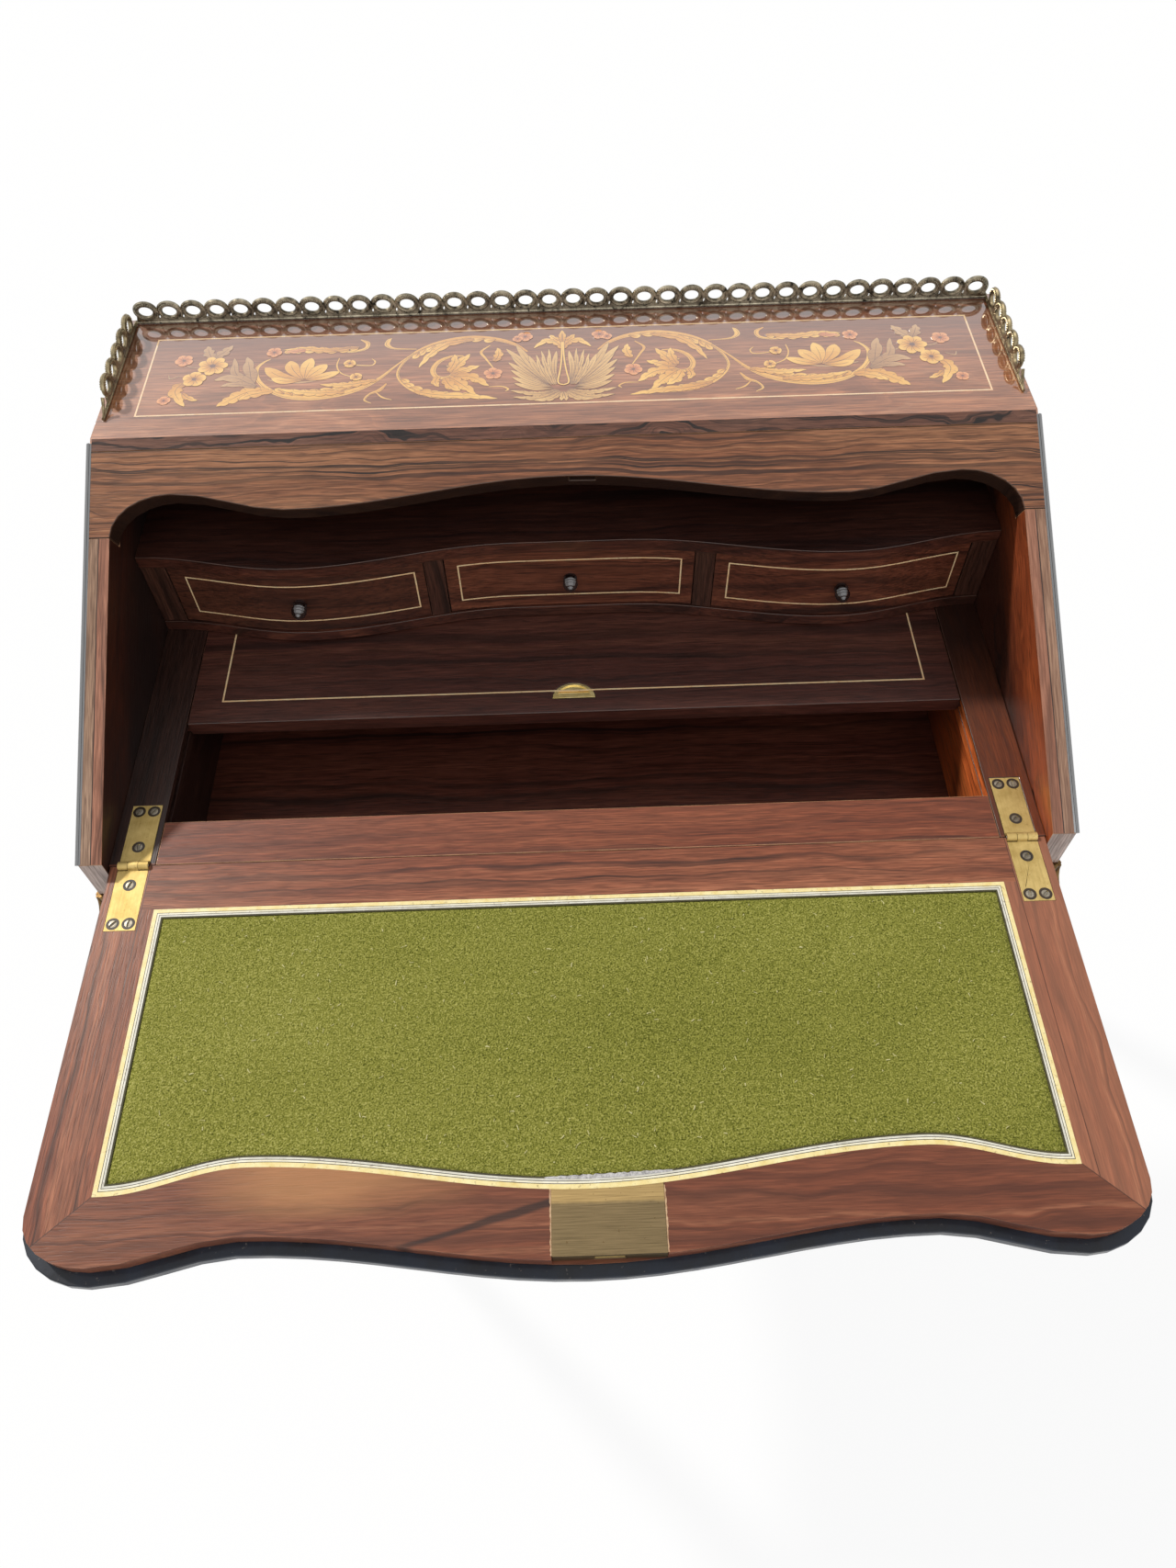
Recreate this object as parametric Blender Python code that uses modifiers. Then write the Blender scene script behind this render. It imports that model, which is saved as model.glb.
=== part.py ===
"""Fall-front writing desk on cabriole legs, standing with its fall open.

The hinge line of the fall is the working datum: y runs back from it, z up from the writing level, and s up
the slant from it.  Empties carry each moving group to that datum, so every piece is drawn where it works.
"""
import math

import bmesh
import bpy
from mathutils import Matrix, Vector

# Case
CASE_WIDTH = 0.713
CASE_REACH = 0.432
FRONT_STEP = 0.005
WRITING_HEIGHT = 0.715
TOP_RISE = 0.158
SLANT_ANGLE = math.radians(27.3)
SIDE_THICKNESS = 0.0165
SIDE_DROP = 0.118
SIDE_ARCH = 0.012
TOP_THICKNESS = 0.018
TOP_EDGE_STRIP = 0.0107
BACK_THICKNESS = 0.012
APRON_THICKNESS = 0.018
APRON_ARCH = 0.014
BEAD_WIDTH = 0.0035
BEAD_DEPTH = 0.007
BEAD_ROUND = 0.8
GAP = 0.0003

# Slanted frame and its serpentine opening
FACE_OFFSET = 0.012
RAIL_THICKNESS = 0.018
HUMP_REACH = 0.280
DIP_REACH = 0.2605
SHOULDER_REACH = 0.2752
SHOULDER_RUN = 0.087
CORNER_WIDTH = 0.044
CORNER_DROP = 0.032

# Fall
FALL_THICKNESS = 0.020
FALL_CLEARANCE = 0.0015
LIP_FRONT = 0.0065
LIP_SIDE = 0.0035
LIP_SEAT = 0.006
LIP_START = 0.009
VELVET_THICKNESS = 0.0015
VELVET_SIDE_BORDER = 0.0450
VELVET_REAR_BORDER = 0.0431
VELVET_FRONT_BORDER = 0.0485

# Well under the writing level, its runners and its sliding lid
WELL_DEPTH = 0.084
FLOOR_THICKNESS = 0.008
FRONT_BOARD_DEPTH = 0.037
FLANGE_WIDTH = 0.0335
FLANGE_THICKNESS = 0.0195
WEB_SETBACK = 0.003
WEB_THICKNESS = 0.008
LID_DROP = 0.001
LID_THICKNESS = 0.0135
LID_LENGTH = 0.215
LID_FRONT = 0.130
TONGUE_WIDTH = 0.007
TONGUE_THICKNESS = 0.005
TONGUE_DEPTH = 0.0045
PULL_RADIUS = 0.017
PULL_DEPTH = 0.015
PULL_THICKNESS = 0.002
PULL_SETBACK = 0.0145
PULL_RIM = 0.004
PULL_DISH = 0.0012

# Drawer nest
DECK_THICKNESS = 0.010
DRAWER_HEIGHT = 0.061
SHELF_THICKNESS = 0.011
NEST_CENTRE = 0.2345
NEST_BOW = 0.021
NEST_END = 0.018
NEST_FLAT = 0.045
CENTRE_DRAWER = 0.201
DIVIDER_WIDTH = 0.015
CHEEK_WIDTH = 0.020
FACE_SETBACK = 0.002
FACE_THICKNESS = 0.009
DRAWER_PLAY = 0.0006
DRAWER_WALL = 0.006
DRAWER_BOTTOM = 0.004
DRAWER_BOTTOM_RISE = 0.003
DRAWER_TOP_GAP = 0.004
KNOB_LENGTH = 0.015
KNOB_RADIUS = 0.005
KNOB_CAP_HEIGHT = 0.005
KNOB_CAP_MIDDLE = 0.0093
KNOB_CAP_TOP = math.radians(65)
KNOB_CAP_FOOT = math.radians(-55)
KNOB_TIP_RADIUS = 0.0014
KNOB_TIP_HEIGHT = 0.0021
KNOB_NECK = 0.0021
KNOB_FLANGE_RADIUS = 0.0045
KNOB_FLANGE_HEIGHT = 0.0018

# Hinges
HINGE_INSET = 0.0185
LEAF_WIDTH = 0.022
LEAF_LENGTH = 0.0525
LEAF_THICKNESS = 0.002
KNUCKLE_RADIUS = 0.0034
PIN_RADIUS = 0.0014
PIN_PLAY = 0.0003
SCREW_HEAD = 0.0038
SCREW_SHANK = 0.0013
SCREW_INSET = 0.0055
SCREW_NEAR = 0.016

# Lock in the front edge of the fall
LOCK_X = 0.012
LOCK_WIDTH = 0.068
LOCK_LENGTH = 0.0405
LOCK_PLATE = 0.0015
LOCK_CASE_WIDTH = 0.056
LOCK_CASE_LENGTH = 0.030
LOCK_CASE_DEPTH = 0.0095
BOLT_WIDTH = 0.018
BOLT_THICKNESS = 0.005
BOLT_LENGTH = 0.022
BOLT_DROP = 0.0038
STRIKE_DEPTH = 0.010
STRIKE_PLAY = 0.001
ESCUTCHEON_WIDTH = 0.018
ESCUTCHEON_HEIGHT = 0.030
ESCUTCHEON_THICKNESS = 0.0015
KEYHOLE_RADIUS = 0.003
KEYHOLE_DROP = 0.009
KEY_OFFSET = 0.019

# Pierced brass gallery
GALLERY_HEIGHT = 0.020
GALLERY_THICKNESS = 0.0025
GALLERY_BASE = 0.003
GALLERY_INSET = 0.005
GALLERY_START = 0.020
RING_PITCH = 0.0194
RING_HEIGHT = 0.0182
RING_HOLE = 0.0055
RING_LANDING = math.radians(24)
TAIL_LENGTH = 0.010

# Legs, corner mounts and sabots
LEG_TOP = 0.044
KNEE_DROP = 0.055
KNEE_OUT = 0.012
KNEE_WIDTH = 0.046
ANKLE_HEIGHT = 0.085
ANKLE_IN = 0.012
ANKLE_WIDTH = 0.021
TOE_OUT = 0.006
TOE_WIDTH = 0.027
LEG_CHAMFER = 0.22
POST_LENGTH = 0.024
MOUNT_START = 0.030
MOUNT_BELLY = 0.062
MOUNT_ARM = 0.026
MOUNT_BULGE = 0.011
MOUNT_TAIL = 0.100
MOUNT_HEAD_ARM = 0.009
MOUNT_TIP = 0.003
MOUNT_EDGE = 0.002
MOUNT_LOBES = 4
MOUNT_SCALLOP = 0.22
SABOT_HEIGHT = 0.048
SABOT_WALL = 0.0025

# Facets
EDGE_STEPS = 14
ARC_STEPS = 6
ROUND_STEPS = 14

# Places that follow from the sizes above
INNER = CASE_WIDTH / 2 - SIDE_THICKNESS
REAR = CASE_REACH - BACK_THICKNESS - GAP
UNDER_TOP = TOP_RISE - TOP_THICKNESS - GAP
SHOULDER_X = INNER - CORNER_WIDTH
DIP_X = SHOULDER_X - SHOULDER_RUN
RAIL_END = SHOULDER_REACH - CORNER_DROP
WELL_HALF = INNER - FLANGE_WIDTH
HINGE_X = INNER - HINGE_INSET
WEB_INNER = WELL_HALF + WEB_SETBACK
WEB_OUTER = WEB_INNER + WEB_THICKNESS
APRON_BACK = APRON_THICKNESS - FRONT_STEP
SHELF_LEVEL = DECK_THICKNESS + DRAWER_HEIGHT
FACE_BACK = NEST_CENTRE + FACE_SETBACK + FACE_THICKNESS
SIDE_DRAWER = (CENTRE_DRAWER / 2 + DIVIDER_WIDTH, INNER - CHEEK_WIDTH)
BOW_X = sum(SIDE_DRAWER) / 2
KNUCKLE_CLEAR = KNUCKLE_RADIUS + 2 * GAP
LEG_HEAD = -SIDE_DROP - GAP
SABOT_TOP = SABOT_HEIGHT - WRITING_HEIGHT
LEG_END = SABOT_WALL + GAP - WRITING_HEIGHT
HINGE_Y = (HUMP_REACH + LIP_FRONT - CASE_REACH - KNEE_OUT) / 2
DATUM = Vector((0, HINGE_Y, WRITING_HEIGHT))
PLAN = Matrix.Identity(4)
PROFILE = Matrix(((0, 0, 1, 0), (1, 0, 0, 0), (0, 1, 0, 0), (0, 0, 0, 1)))
ELEVATION = Matrix(((1, 0, 0, 0), (0, 0, -1, 0), (0, 1, 0, 0), (0, 0, 0, 1)))
OVERCUT = 0.002
WELD = 0.000002


def ease(start, end, share):
    """Value between start and end along half a cosine wave."""
    return start + (end - start) * (1 - math.cos(math.pi * share)) / 2


def spread(start, end, steps):
    """Evenly spaced values from start to end, both included."""
    return [start + (end - start) * step / steps for step in range(steps + 1)]


def ellipse(centre, wide, tall, start=0.0, end=2 * math.pi, steps=ROUND_STEPS):
    """Points along an ellipse from one angle to another."""
    angles = spread(start, end, steps)
    return [(centre[0] + wide * math.cos(a), centre[1] + tall * math.sin(a)) for a in angles]


def finish(name, colour, roughness, metallic=0.0):
    """A plain surface finish."""
    made = bpy.data.materials.new(name)
    made.use_nodes = True
    shader = made.node_tree.nodes["Principled BSDF"]
    shader.inputs["Base Color"].default_value = (*colour, 1)
    shader.inputs["Roughness"].default_value = roughness
    shader.inputs["Metallic"].default_value = metallic
    return made


def closed_mesh(work):
    """Turn the faces of a bmesh outward and keep it as a mesh."""
    bmesh.ops.recalc_face_normals(work, faces=work.faces)
    mesh = bpy.data.meshes.new("piece")
    work.to_mesh(mesh)
    work.free()
    return mesh


def block(low, high):
    """A box between two corners."""
    work = bmesh.new()
    bmesh.ops.create_cube(work, size=1)
    size = Vector(abs(b - a) for a, b in zip(low, high))
    bmesh.ops.scale(work, vec=size, verts=work.verts)
    bmesh.ops.translate(work, vec=(Vector(low) + Vector(high)) / 2, verts=work.verts)
    return closed_mesh(work)


def rod(start, end, radius, steps=ROUND_STEPS):
    """A round bar between two points."""
    run = Vector(end) - Vector(start)
    turn = run.to_track_quat("Z", "Y").to_matrix().to_4x4()
    middle = Matrix.Translation((Vector(start) + Vector(end)) / 2) @ turn
    work = bmesh.new()
    bmesh.ops.create_cone(work, cap_ends=True, segments=steps, radius1=radius, radius2=radius,
                          depth=run.length, matrix=middle)
    return closed_mesh(work)


def evaluated_mesh(shape):
    """The mesh that a curve or a modified object makes, with the object taken away again."""
    bpy.context.scene.collection.objects.link(shape)
    seen = shape.evaluated_get(bpy.context.evaluated_depsgraph_get())
    mesh = bpy.data.meshes.new_from_object(seen)
    bpy.data.objects.remove(shape)
    return mesh


def plate(loops, low, high, plane=PLAN):
    """A flat outline, with any holes as further loops, cut from stock between two levels of a plane."""
    curve = bpy.data.curves.new("outline", "CURVE")
    curve.dimensions = "2D"
    curve.fill_mode = "BOTH"
    curve.extrude = (high - low) / 2
    for loop in loops:
        spline = curve.splines.new("POLY")
        spline.points.add(len(loop) - 1)
        spline.use_cyclic_u = True
        for point, (u, v) in zip(spline.points, loop):
            point.co = (u, v, 0, 1)
    work = bmesh.new()
    work.from_mesh(evaluated_mesh(bpy.data.objects.new("outline", curve)))
    bmesh.ops.remove_doubles(work, verts=work.verts, dist=WELD)
    bmesh.ops.dissolve_limit(work, angle_limit=0.0001, verts=work.verts, edges=work.edges)
    lift = Matrix.Translation((0, 0, (low + high) / 2))
    bmesh.ops.transform(work, matrix=plane @ lift, verts=work.verts)
    return closed_mesh(work)


def upright(loops, front, back):
    """An outline drawn in x and z, cut from stock that runs from front to back."""
    return plate(loops, -back, -front, ELEVATION)


def turned(profile, place=PLAN, steps=ROUND_STEPS):
    """A shape turned round z from a profile of radius and height that runs down its outer side."""
    line = bpy.data.meshes.new("profile")
    edges = [(k, k + 1) for k in range(len(profile) - 1)]
    line.from_pydata([(radius, 0, height) for radius, height in profile], edges, [])
    shape = bpy.data.objects.new("profile", line)
    screw = shape.modifiers.new("turn", "SCREW")
    screw.steps = steps
    screw.render_steps = steps
    screw.use_merge_vertices = True
    screw.merge_threshold = WELD
    work = bmesh.new()
    work.from_mesh(evaluated_mesh(shape))
    bmesh.ops.remove_doubles(work, verts=work.verts, dist=WELD)
    bmesh.ops.transform(work, matrix=place, verts=work.verts)
    return closed_mesh(work)


def loft(rings):
    """A closed skin through rings of points, capped at both ends."""
    work = bmesh.new()
    rows = [[work.verts.new(point) for point in ring] for ring in rings]
    for upper, lower in zip(rows, rows[1:]):
        for here in range(len(upper)):
            after = (here + 1) % len(upper)
            work.faces.new((upper[here], upper[after], lower[after], lower[here]))
    work.faces.new(rows[0])
    work.faces.new(rows[-1])
    return closed_mesh(work)


def carrier(name, x=0.0, y=0.0, z=0.0):
    """An empty that carries one moving group, on the line that the group moves along or about."""
    empty = bpy.data.objects.new(name, None)
    empty.empty_display_size = 0.05
    empty.location = DATUM + Vector((x, y, z))
    DESK.objects.link(empty)
    return empty


def place(shape, group, slanted):
    """Hang an object that is drawn from the hinge line on its group."""
    shape.parent = group
    shape.location = DATUM - group.location
    if slanted:
        shape.rotation_euler.x = SLANT_ANGLE


def piece(name, mesh, group, material, slanted=False):
    """One named sub-part of the desk."""
    mesh.name = name
    mesh.materials.append(material)
    mesh.shade_smooth()
    mesh.set_sharp_from_angle(angle=math.radians(35))
    shape = bpy.data.objects.new(name, mesh)
    DESK.objects.link(shape)
    place(shape, group, slanted)
    return shape


def work_with(target, mesh, operation, slanted=False):
    """Cut a tool shape out of a piece, or join it on."""
    tool = bpy.data.objects.new(target.name + "_tool", mesh)
    CUTTERS.objects.link(tool)
    tool.hide_render = True
    tool.display_type = "WIRE"
    place(tool, target.parent, slanted)
    change = target.modifiers.new(operation.lower(), "BOOLEAN")
    change.operation = operation
    change.object = tool


def cut(target, mesh, slanted=False):
    """Cut a tool shape out of a piece."""
    work_with(target, mesh, "DIFFERENCE", slanted)


def join(target, mesh):
    """Join a shape onto a piece."""
    work_with(target, mesh, "UNION")


def on_slant(reach, height):
    """The y and z of a point some way up the slant and some height off its hinge plane."""
    return (reach * math.cos(SLANT_ANGLE) - height * math.sin(SLANT_ANGLE),
            reach * math.sin(SLANT_ANGLE) + height * math.cos(SLANT_ANGLE))


def reach_at_level(level, height):
    """How far up the slant a line at some height off the hinge plane meets a level."""
    return (level - height * math.cos(SLANT_ANGLE)) / math.sin(SLANT_ANGLE)


def height_at_level(level, reach):
    """How far off the hinge plane a line square to the slant meets a level."""
    return (level - reach * math.sin(SLANT_ANGLE)) / math.cos(SLANT_ANGLE)


def front_reach(x):
    """Distance from the hinge line to the serpentine edge of the opening."""
    x = abs(x)
    if x < DIP_X:
        return ease(HUMP_REACH, DIP_REACH, x / DIP_X)
    return ease(DIP_REACH, SHOULDER_REACH, (x - DIP_X) / SHOULDER_RUN)


def serpentine(front_grow, side_grow):
    """The opening's edge from its left end round to its right end, moved outward at front and sides."""
    half = [(x, front_reach(x) + front_grow) for x in spread(0, SHOULDER_X, EDGE_STEPS)]
    corner = (SHOULDER_X, RAIL_END)
    wide = CORNER_WIDTH + side_grow
    tall = CORNER_DROP + front_grow
    half += ellipse(corner, wide, tall, math.pi / 2, 0, ARC_STEPS)[1:]
    return [(-x, reach) for x, reach in reversed(half[1:])] + half


def fall_outline(front_grow, side_grow, start):
    """The fall's edge closed by a straight line at start, drawn open, towards the front."""
    edge = serpentine(front_grow, side_grow)
    ends = [(INNER + side_grow, start), (-INNER - side_grow, start)]
    return [(x, -reach) for x, reach in edge + ends]


def edge_band(outer, inner, start):
    """A band along the fall's front and sides, between two lines that follow its edge."""
    outside = serpentine(*outer)
    inside = serpentine(*inner)
    path = [(-INNER - outer[1], start)] + outside + [(INNER + outer[1], start)]
    path += [(INNER + inner[1], start)] + inside[::-1] + [(-INNER - inner[1], start)]
    return [(x, -reach) for x, reach in path]


def nest_line(x):
    """Front line of the drawer nest in plan: flat at the centre, bowed before each side drawer."""
    x = abs(x)
    bow = NEST_CENTRE - NEST_BOW
    if x < NEST_FLAT:
        return NEST_CENTRE
    if x < BOW_X:
        return ease(NEST_CENTRE, bow, (x - NEST_FLAT) / (BOW_X - NEST_FLAT))
    return ease(bow, bow + NEST_END, (x - BOW_X) / (INNER - BOW_X))


def nest_outline(left, right, setback, back, steps):
    """A board that follows the nest's front line and is straight at the back."""
    front = [(x, nest_line(x) + setback) for x in spread(left, right, steps)]
    return front + [(right, back), (left, back)]


for old in list(bpy.data.objects):
    bpy.data.objects.remove(old, do_unlink=True)
DESK = bpy.data.collections.new("fall_front_desk")
CUTTERS = bpy.data.collections.new("cutters")
bpy.context.scene.collection.children.link(DESK)
bpy.context.scene.collection.children.link(CUTTERS)

ROSEWOOD = finish("rosewood", (0.16, 0.055, 0.03), 0.3)
DARK_WOOD = finish("dark_rosewood", (0.055, 0.02, 0.014), 0.35)
EBONISED = finish("ebonised_wood", (0.012, 0.011, 0.012), 0.25)
DRAWER_OAK = finish("drawer_oak", (0.32, 0.19, 0.09), 0.5)
BRASS = finish("brass", (0.72, 0.53, 0.2), 0.3, 1.0)
OLD_BRASS = finish("old_brass", (0.3, 0.23, 0.12), 0.4, 1.0)
BRONZE = finish("bronze", (0.16, 0.12, 0.07), 0.4, 1.0)
STEEL = finish("steel", (0.3, 0.29, 0.27), 0.4, 1.0)
VELVET = finish("green_velvet", (0.14, 0.15, 0.012), 0.95)

CASE = carrier("case")
FALL = carrier("fall_hinge")
LID = carrier("well_lid_slide", y=LID_FRONT)


def side_panel(name, side):
    """A solid side with a slanted front edge, rebated at its top for the rail, arched between the legs."""
    foot = (FACE_OFFSET - FRONT_STEP * math.sin(SLANT_ANGLE)) / math.cos(SLANT_ANGLE)
    seat = FACE_OFFSET - RAIL_THICKNESS - GAP
    front_leg = LEG_TOP - FRONT_STEP
    back_leg = CASE_REACH - LEG_TOP
    arch = [(y, -SIDE_DROP + ease(0, SIDE_ARCH, 2 * share))
            for y, share in zip(spread(back_leg, front_leg, EDGE_STEPS), spread(0, 1, EDGE_STEPS))]
    outline = [(-FRONT_STEP, -SIDE_DROP), (-FRONT_STEP, foot),
               on_slant(RAIL_END - GAP, FACE_OFFSET), on_slant(RAIL_END - GAP, seat),
               on_slant(reach_at_level(UNDER_TOP, seat), seat),
               (CASE_REACH, UNDER_TOP), (CASE_REACH, -SIDE_DROP)] + arch
    inner, outer = sorted((side * INNER, side * CASE_WIDTH / 2))
    piece(name, plate([outline], inner, outer, PROFILE), CASE, ROSEWOOD)


def edge_bead(name, side):
    """A small ebonised bead along the outer edge of a side's slant."""
    foot = (FACE_OFFSET * math.sin(SLANT_ANGLE) - FRONT_STEP) / math.cos(SLANT_ANGLE)
    top = reach_at_level(TOP_RISE, FACE_OFFSET) - BEAD_DEPTH * math.tan(SLANT_ANGLE)
    outer = CASE_WIDTH / 2 + BEAD_WIDTH
    low = FACE_OFFSET - BEAD_DEPTH
    bend = min(BEAD_WIDTH, BEAD_DEPTH) * BEAD_ROUND
    curve = ellipse((outer - bend, FACE_OFFSET - bend), bend, bend, math.pi / 2, 0, ARC_STEPS)
    section = [(CASE_WIDTH / 2 + GAP, low), (CASE_WIDTH / 2 + GAP, FACE_OFFSET)] + curve + [(outer, low)]
    section = [(side * x, height) for x, height in section]
    piece(name, upright([section], foot, top), CASE, EBONISED, slanted=True)


def top_board():
    """The top, bevelled along its front in the plane of the slant."""
    front = reach_at_level(TOP_RISE, FACE_OFFSET)
    joint = front - TOP_EDGE_STRIP
    under = TOP_RISE - TOP_THICKNESS
    outline = [on_slant(front, FACE_OFFSET), on_slant(joint, FACE_OFFSET),
               on_slant(joint, height_at_level(under, joint)), (CASE_REACH, under), (CASE_REACH, TOP_RISE)]
    piece("top_board", plate([outline], -CASE_WIDTH / 2, CASE_WIDTH / 2, PROFILE), CASE, ROSEWOOD)


def slant_rail():
    """The rail over the opening, with the serpentine edge and the mortise that takes the lock's bolt."""
    top = reach_at_level(TOP_RISE, FACE_OFFSET) - TOP_EDGE_STRIP - GAP
    half = CASE_WIDTH / 2
    outline = [(half, RAIL_END), (half, top), (-half, top), (-half, RAIL_END)] + serpentine(0, 0)
    low = FACE_OFFSET - RAIL_THICKNESS
    rail = piece("slant_rail", plate([outline], low, FACE_OFFSET), CASE, ROSEWOOD, slanted=True)
    half_bolt = BOLT_WIDTH / 2 + STRIKE_PLAY
    mouth = front_reach(LOCK_X + half_bolt) - OVERCUT
    roof = BOLT_DROP + BOLT_THICKNESS + STRIKE_PLAY
    mortise = block((LOCK_X - half_bolt, mouth, BOLT_DROP - STRIKE_PLAY),
                    (LOCK_X + half_bolt, HUMP_REACH + STRIKE_DEPTH, roof))
    cut(rail, mortise, slanted=True)


def front_apron():
    """The shaped board under the fall, between the front legs."""
    end = INNER - GAP
    flat = CASE_WIDTH / 2 - LEG_TOP
    shape = [(x, -SIDE_DROP + ease(0, APRON_ARCH, 4 * share))
             for x, share in zip(spread(-flat, flat, 2 * EDGE_STEPS), spread(0, 1, 2 * EDGE_STEPS))]
    top = -FALL_THICKNESS - GAP
    outline = [(-end, top), (-end, -SIDE_DROP)] + shape + [(end, -SIDE_DROP), (end, top)]
    piece("front_apron", upright([outline], -FRONT_STEP, APRON_BACK), CASE, ROSEWOOD)


def back_and_floor():
    """The plain back, and the well's floor, notched round the legs' posts."""
    end = INNER - GAP
    back = block((-end, CASE_REACH - BACK_THICKNESS, -SIDE_DROP), (end, CASE_REACH, UNDER_TOP))
    piece("back_panel", back, CASE, DARK_WOOD)
    front = APRON_BACK + GAP
    step = WEB_OUTER
    front_notch = front + POST_LENGTH + 2 * GAP
    back_notch = REAR - POST_LENGTH - 2 * GAP
    right = [(step, front), (step, front_notch), (end, front_notch), (end, back_notch), (step, back_notch),
             (step, REAR)]
    outline = right + [(-x, y) for x, y in reversed(right)]
    floor = plate([outline], -WELL_DEPTH - FLOOR_THICKNESS, -WELL_DEPTH)
    piece("well_floor", floor, CASE, DARK_WOOD)


def hinge_pocket(side, leaf_side):
    """Tools that let one hinge leaf and its knuckle into the wood."""
    x = side * HINGE_X
    half = LEAF_WIDTH / 2 + GAP
    far = leaf_side * (LEAF_LENGTH + GAP)
    near = leaf_side * -OVERCUT
    deep = KNUCKLE_CLEAR + GAP
    leaf = block((x - half, near, -LEAF_THICKNESS - GAP), (x + half, far, OVERCUT))
    knuckle = block((x - half, near, -deep), (x + half, leaf_side * deep, OVERCUT))
    return [leaf, knuckle]


def well_side(name, side):
    """A grooved runner for the lid, with the well's thin side wall under it from the apron back."""
    groove_top = -LID_DROP - TONGUE_DEPTH + GAP
    groove_low = -LID_DROP - TONGUE_DEPTH - TONGUE_THICKNESS - GAP
    groove = WELL_HALF + TONGUE_WIDTH + 2 * GAP
    section = [(INNER - GAP, 0), (INNER - GAP, -FLANGE_THICKNESS), (WELL_HALF, -FLANGE_THICKNESS),
               (WELL_HALF, groove_low), (groove, groove_low), (groove, groove_top), (WELL_HALF, groove_top),
               (WELL_HALF, 0)]
    section = [(side * x, z) for x, z in section]
    runner = piece(name, upright([section], GAP, REAR), CASE, DARK_WOOD)
    wall = block((side * WEB_INNER, APRON_BACK + GAP, -WELL_DEPTH + GAP),
                 (side * WEB_OUTER, REAR - GAP, -FLANGE_THICKNESS + OVERCUT))
    join(runner, wall)
    for tool in hinge_pocket(side, 1):
        cut(runner, tool)


def front_board():
    """The fixed strip of the writing level between the hinge line and the well."""
    end = WELL_HALF - GAP
    strip = block((-end, GAP, -FALL_THICKNESS), (end, FRONT_BOARD_DEPTH, 0))
    piece("front_board", strip, CASE, ROSEWOOD)


def drawer_nest():
    """Deck, shelf, dividers and cheeks, all following one serpentine front line."""
    end = INNER - GAP
    deck = nest_outline(-end, end, 0, REAR, 3 * EDGE_STEPS)
    piece("drawer_deck", plate([deck], GAP, DECK_THICKNESS), CASE, DARK_WOOD)
    shelf_top = SHELF_LEVEL + SHELF_THICKNESS
    piece("drawer_shelf", plate([deck], SHELF_LEVEL, shelf_top), CASE, DARK_WOOD)
    low = DECK_THICKNESS + GAP
    high = SHELF_LEVEL - GAP
    for name, side in (("left", -1), ("right", 1)):
        inner = side * CENTRE_DRAWER / 2
        outer = side * SIDE_DRAWER[0]
        divider = nest_outline(inner, outer, FACE_SETBACK / 2, REAR, ARC_STEPS)
        piece(name + "_divider", plate([divider], low, high), CASE, EBONISED)
        cheek = nest_outline(side * SIDE_DRAWER[1], side * end, FACE_SETBACK / 2, REAR, ARC_STEPS)
        piece(name + "_cheek", plate([cheek], low, high), CASE, DARK_WOOD)


def knob_profile():
    """Half section of a small turned knob, from its tip over the cap and the neck to the flange."""
    cap = ellipse((0, KNOB_CAP_MIDDLE), KNOB_RADIUS, KNOB_CAP_HEIGHT / 2,
                  KNOB_CAP_TOP, KNOB_CAP_FOOT, ARC_STEPS)
    tip = [(0, KNOB_LENGTH), (KNOB_TIP_RADIUS, KNOB_LENGTH - KNOB_TIP_HEIGHT / 4),
           (KNOB_TIP_RADIUS, KNOB_LENGTH - KNOB_TIP_HEIGHT)]
    foot = [(KNOB_NECK, KNOB_CAP_MIDDLE - KNOB_CAP_HEIGHT), (KNOB_NECK, 2 * KNOB_FLANGE_HEIGHT),
            (KNOB_FLANGE_RADIUS, KNOB_FLANGE_HEIGHT), (KNOB_FLANGE_RADIUS, 0), (0, 0)]
    return tip + cap + foot


def drawer(name, left, right):
    """A small drawer: shaped front, two sides and a back, a bottom between them and a knob."""
    middle = (left + right) / 2
    left += DRAWER_PLAY
    right -= DRAWER_PLAY
    low = DECK_THICKNESS + 2 * GAP
    high = SHELF_LEVEL - DRAWER_PLAY
    face_y = nest_line(middle) + FACE_SETBACK
    slide = carrier(name + "_slide", middle, face_y, (low + high) / 2)
    front = nest_outline(left, right, FACE_SETBACK, FACE_BACK, EDGE_STEPS)
    piece(name + "_front", plate([front], low, high), slide, DARK_WOOD)
    start = FACE_BACK + GAP
    end = REAR - GAP
    rim = high - DRAWER_TOP_GAP
    inside_left = left + DRAWER_WALL
    inside_right = right - DRAWER_WALL
    inside_end = end - DRAWER_WALL
    walls = [(left, start), (inside_left, start), (inside_left, inside_end), (inside_right, inside_end),
             (inside_right, start), (right, start), (right, end), (left, end)]
    piece(name + "_carcase", plate([walls], low, rim), slide, DRAWER_OAK)
    base = low + DRAWER_BOTTOM_RISE
    bottom = block((inside_left + GAP, start, base),
                   (inside_right - GAP, inside_end - GAP, base + DRAWER_BOTTOM))
    piece(name + "_bottom", bottom, slide, DRAWER_OAK)
    point_forward = Matrix.Translation((middle, face_y - GAP, (low + high) / 2)) @ Matrix.Rotation(
        math.pi / 2, 4, "X")
    piece(name + "_knob", turned(knob_profile(), point_forward), slide, EBONISED)


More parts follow.
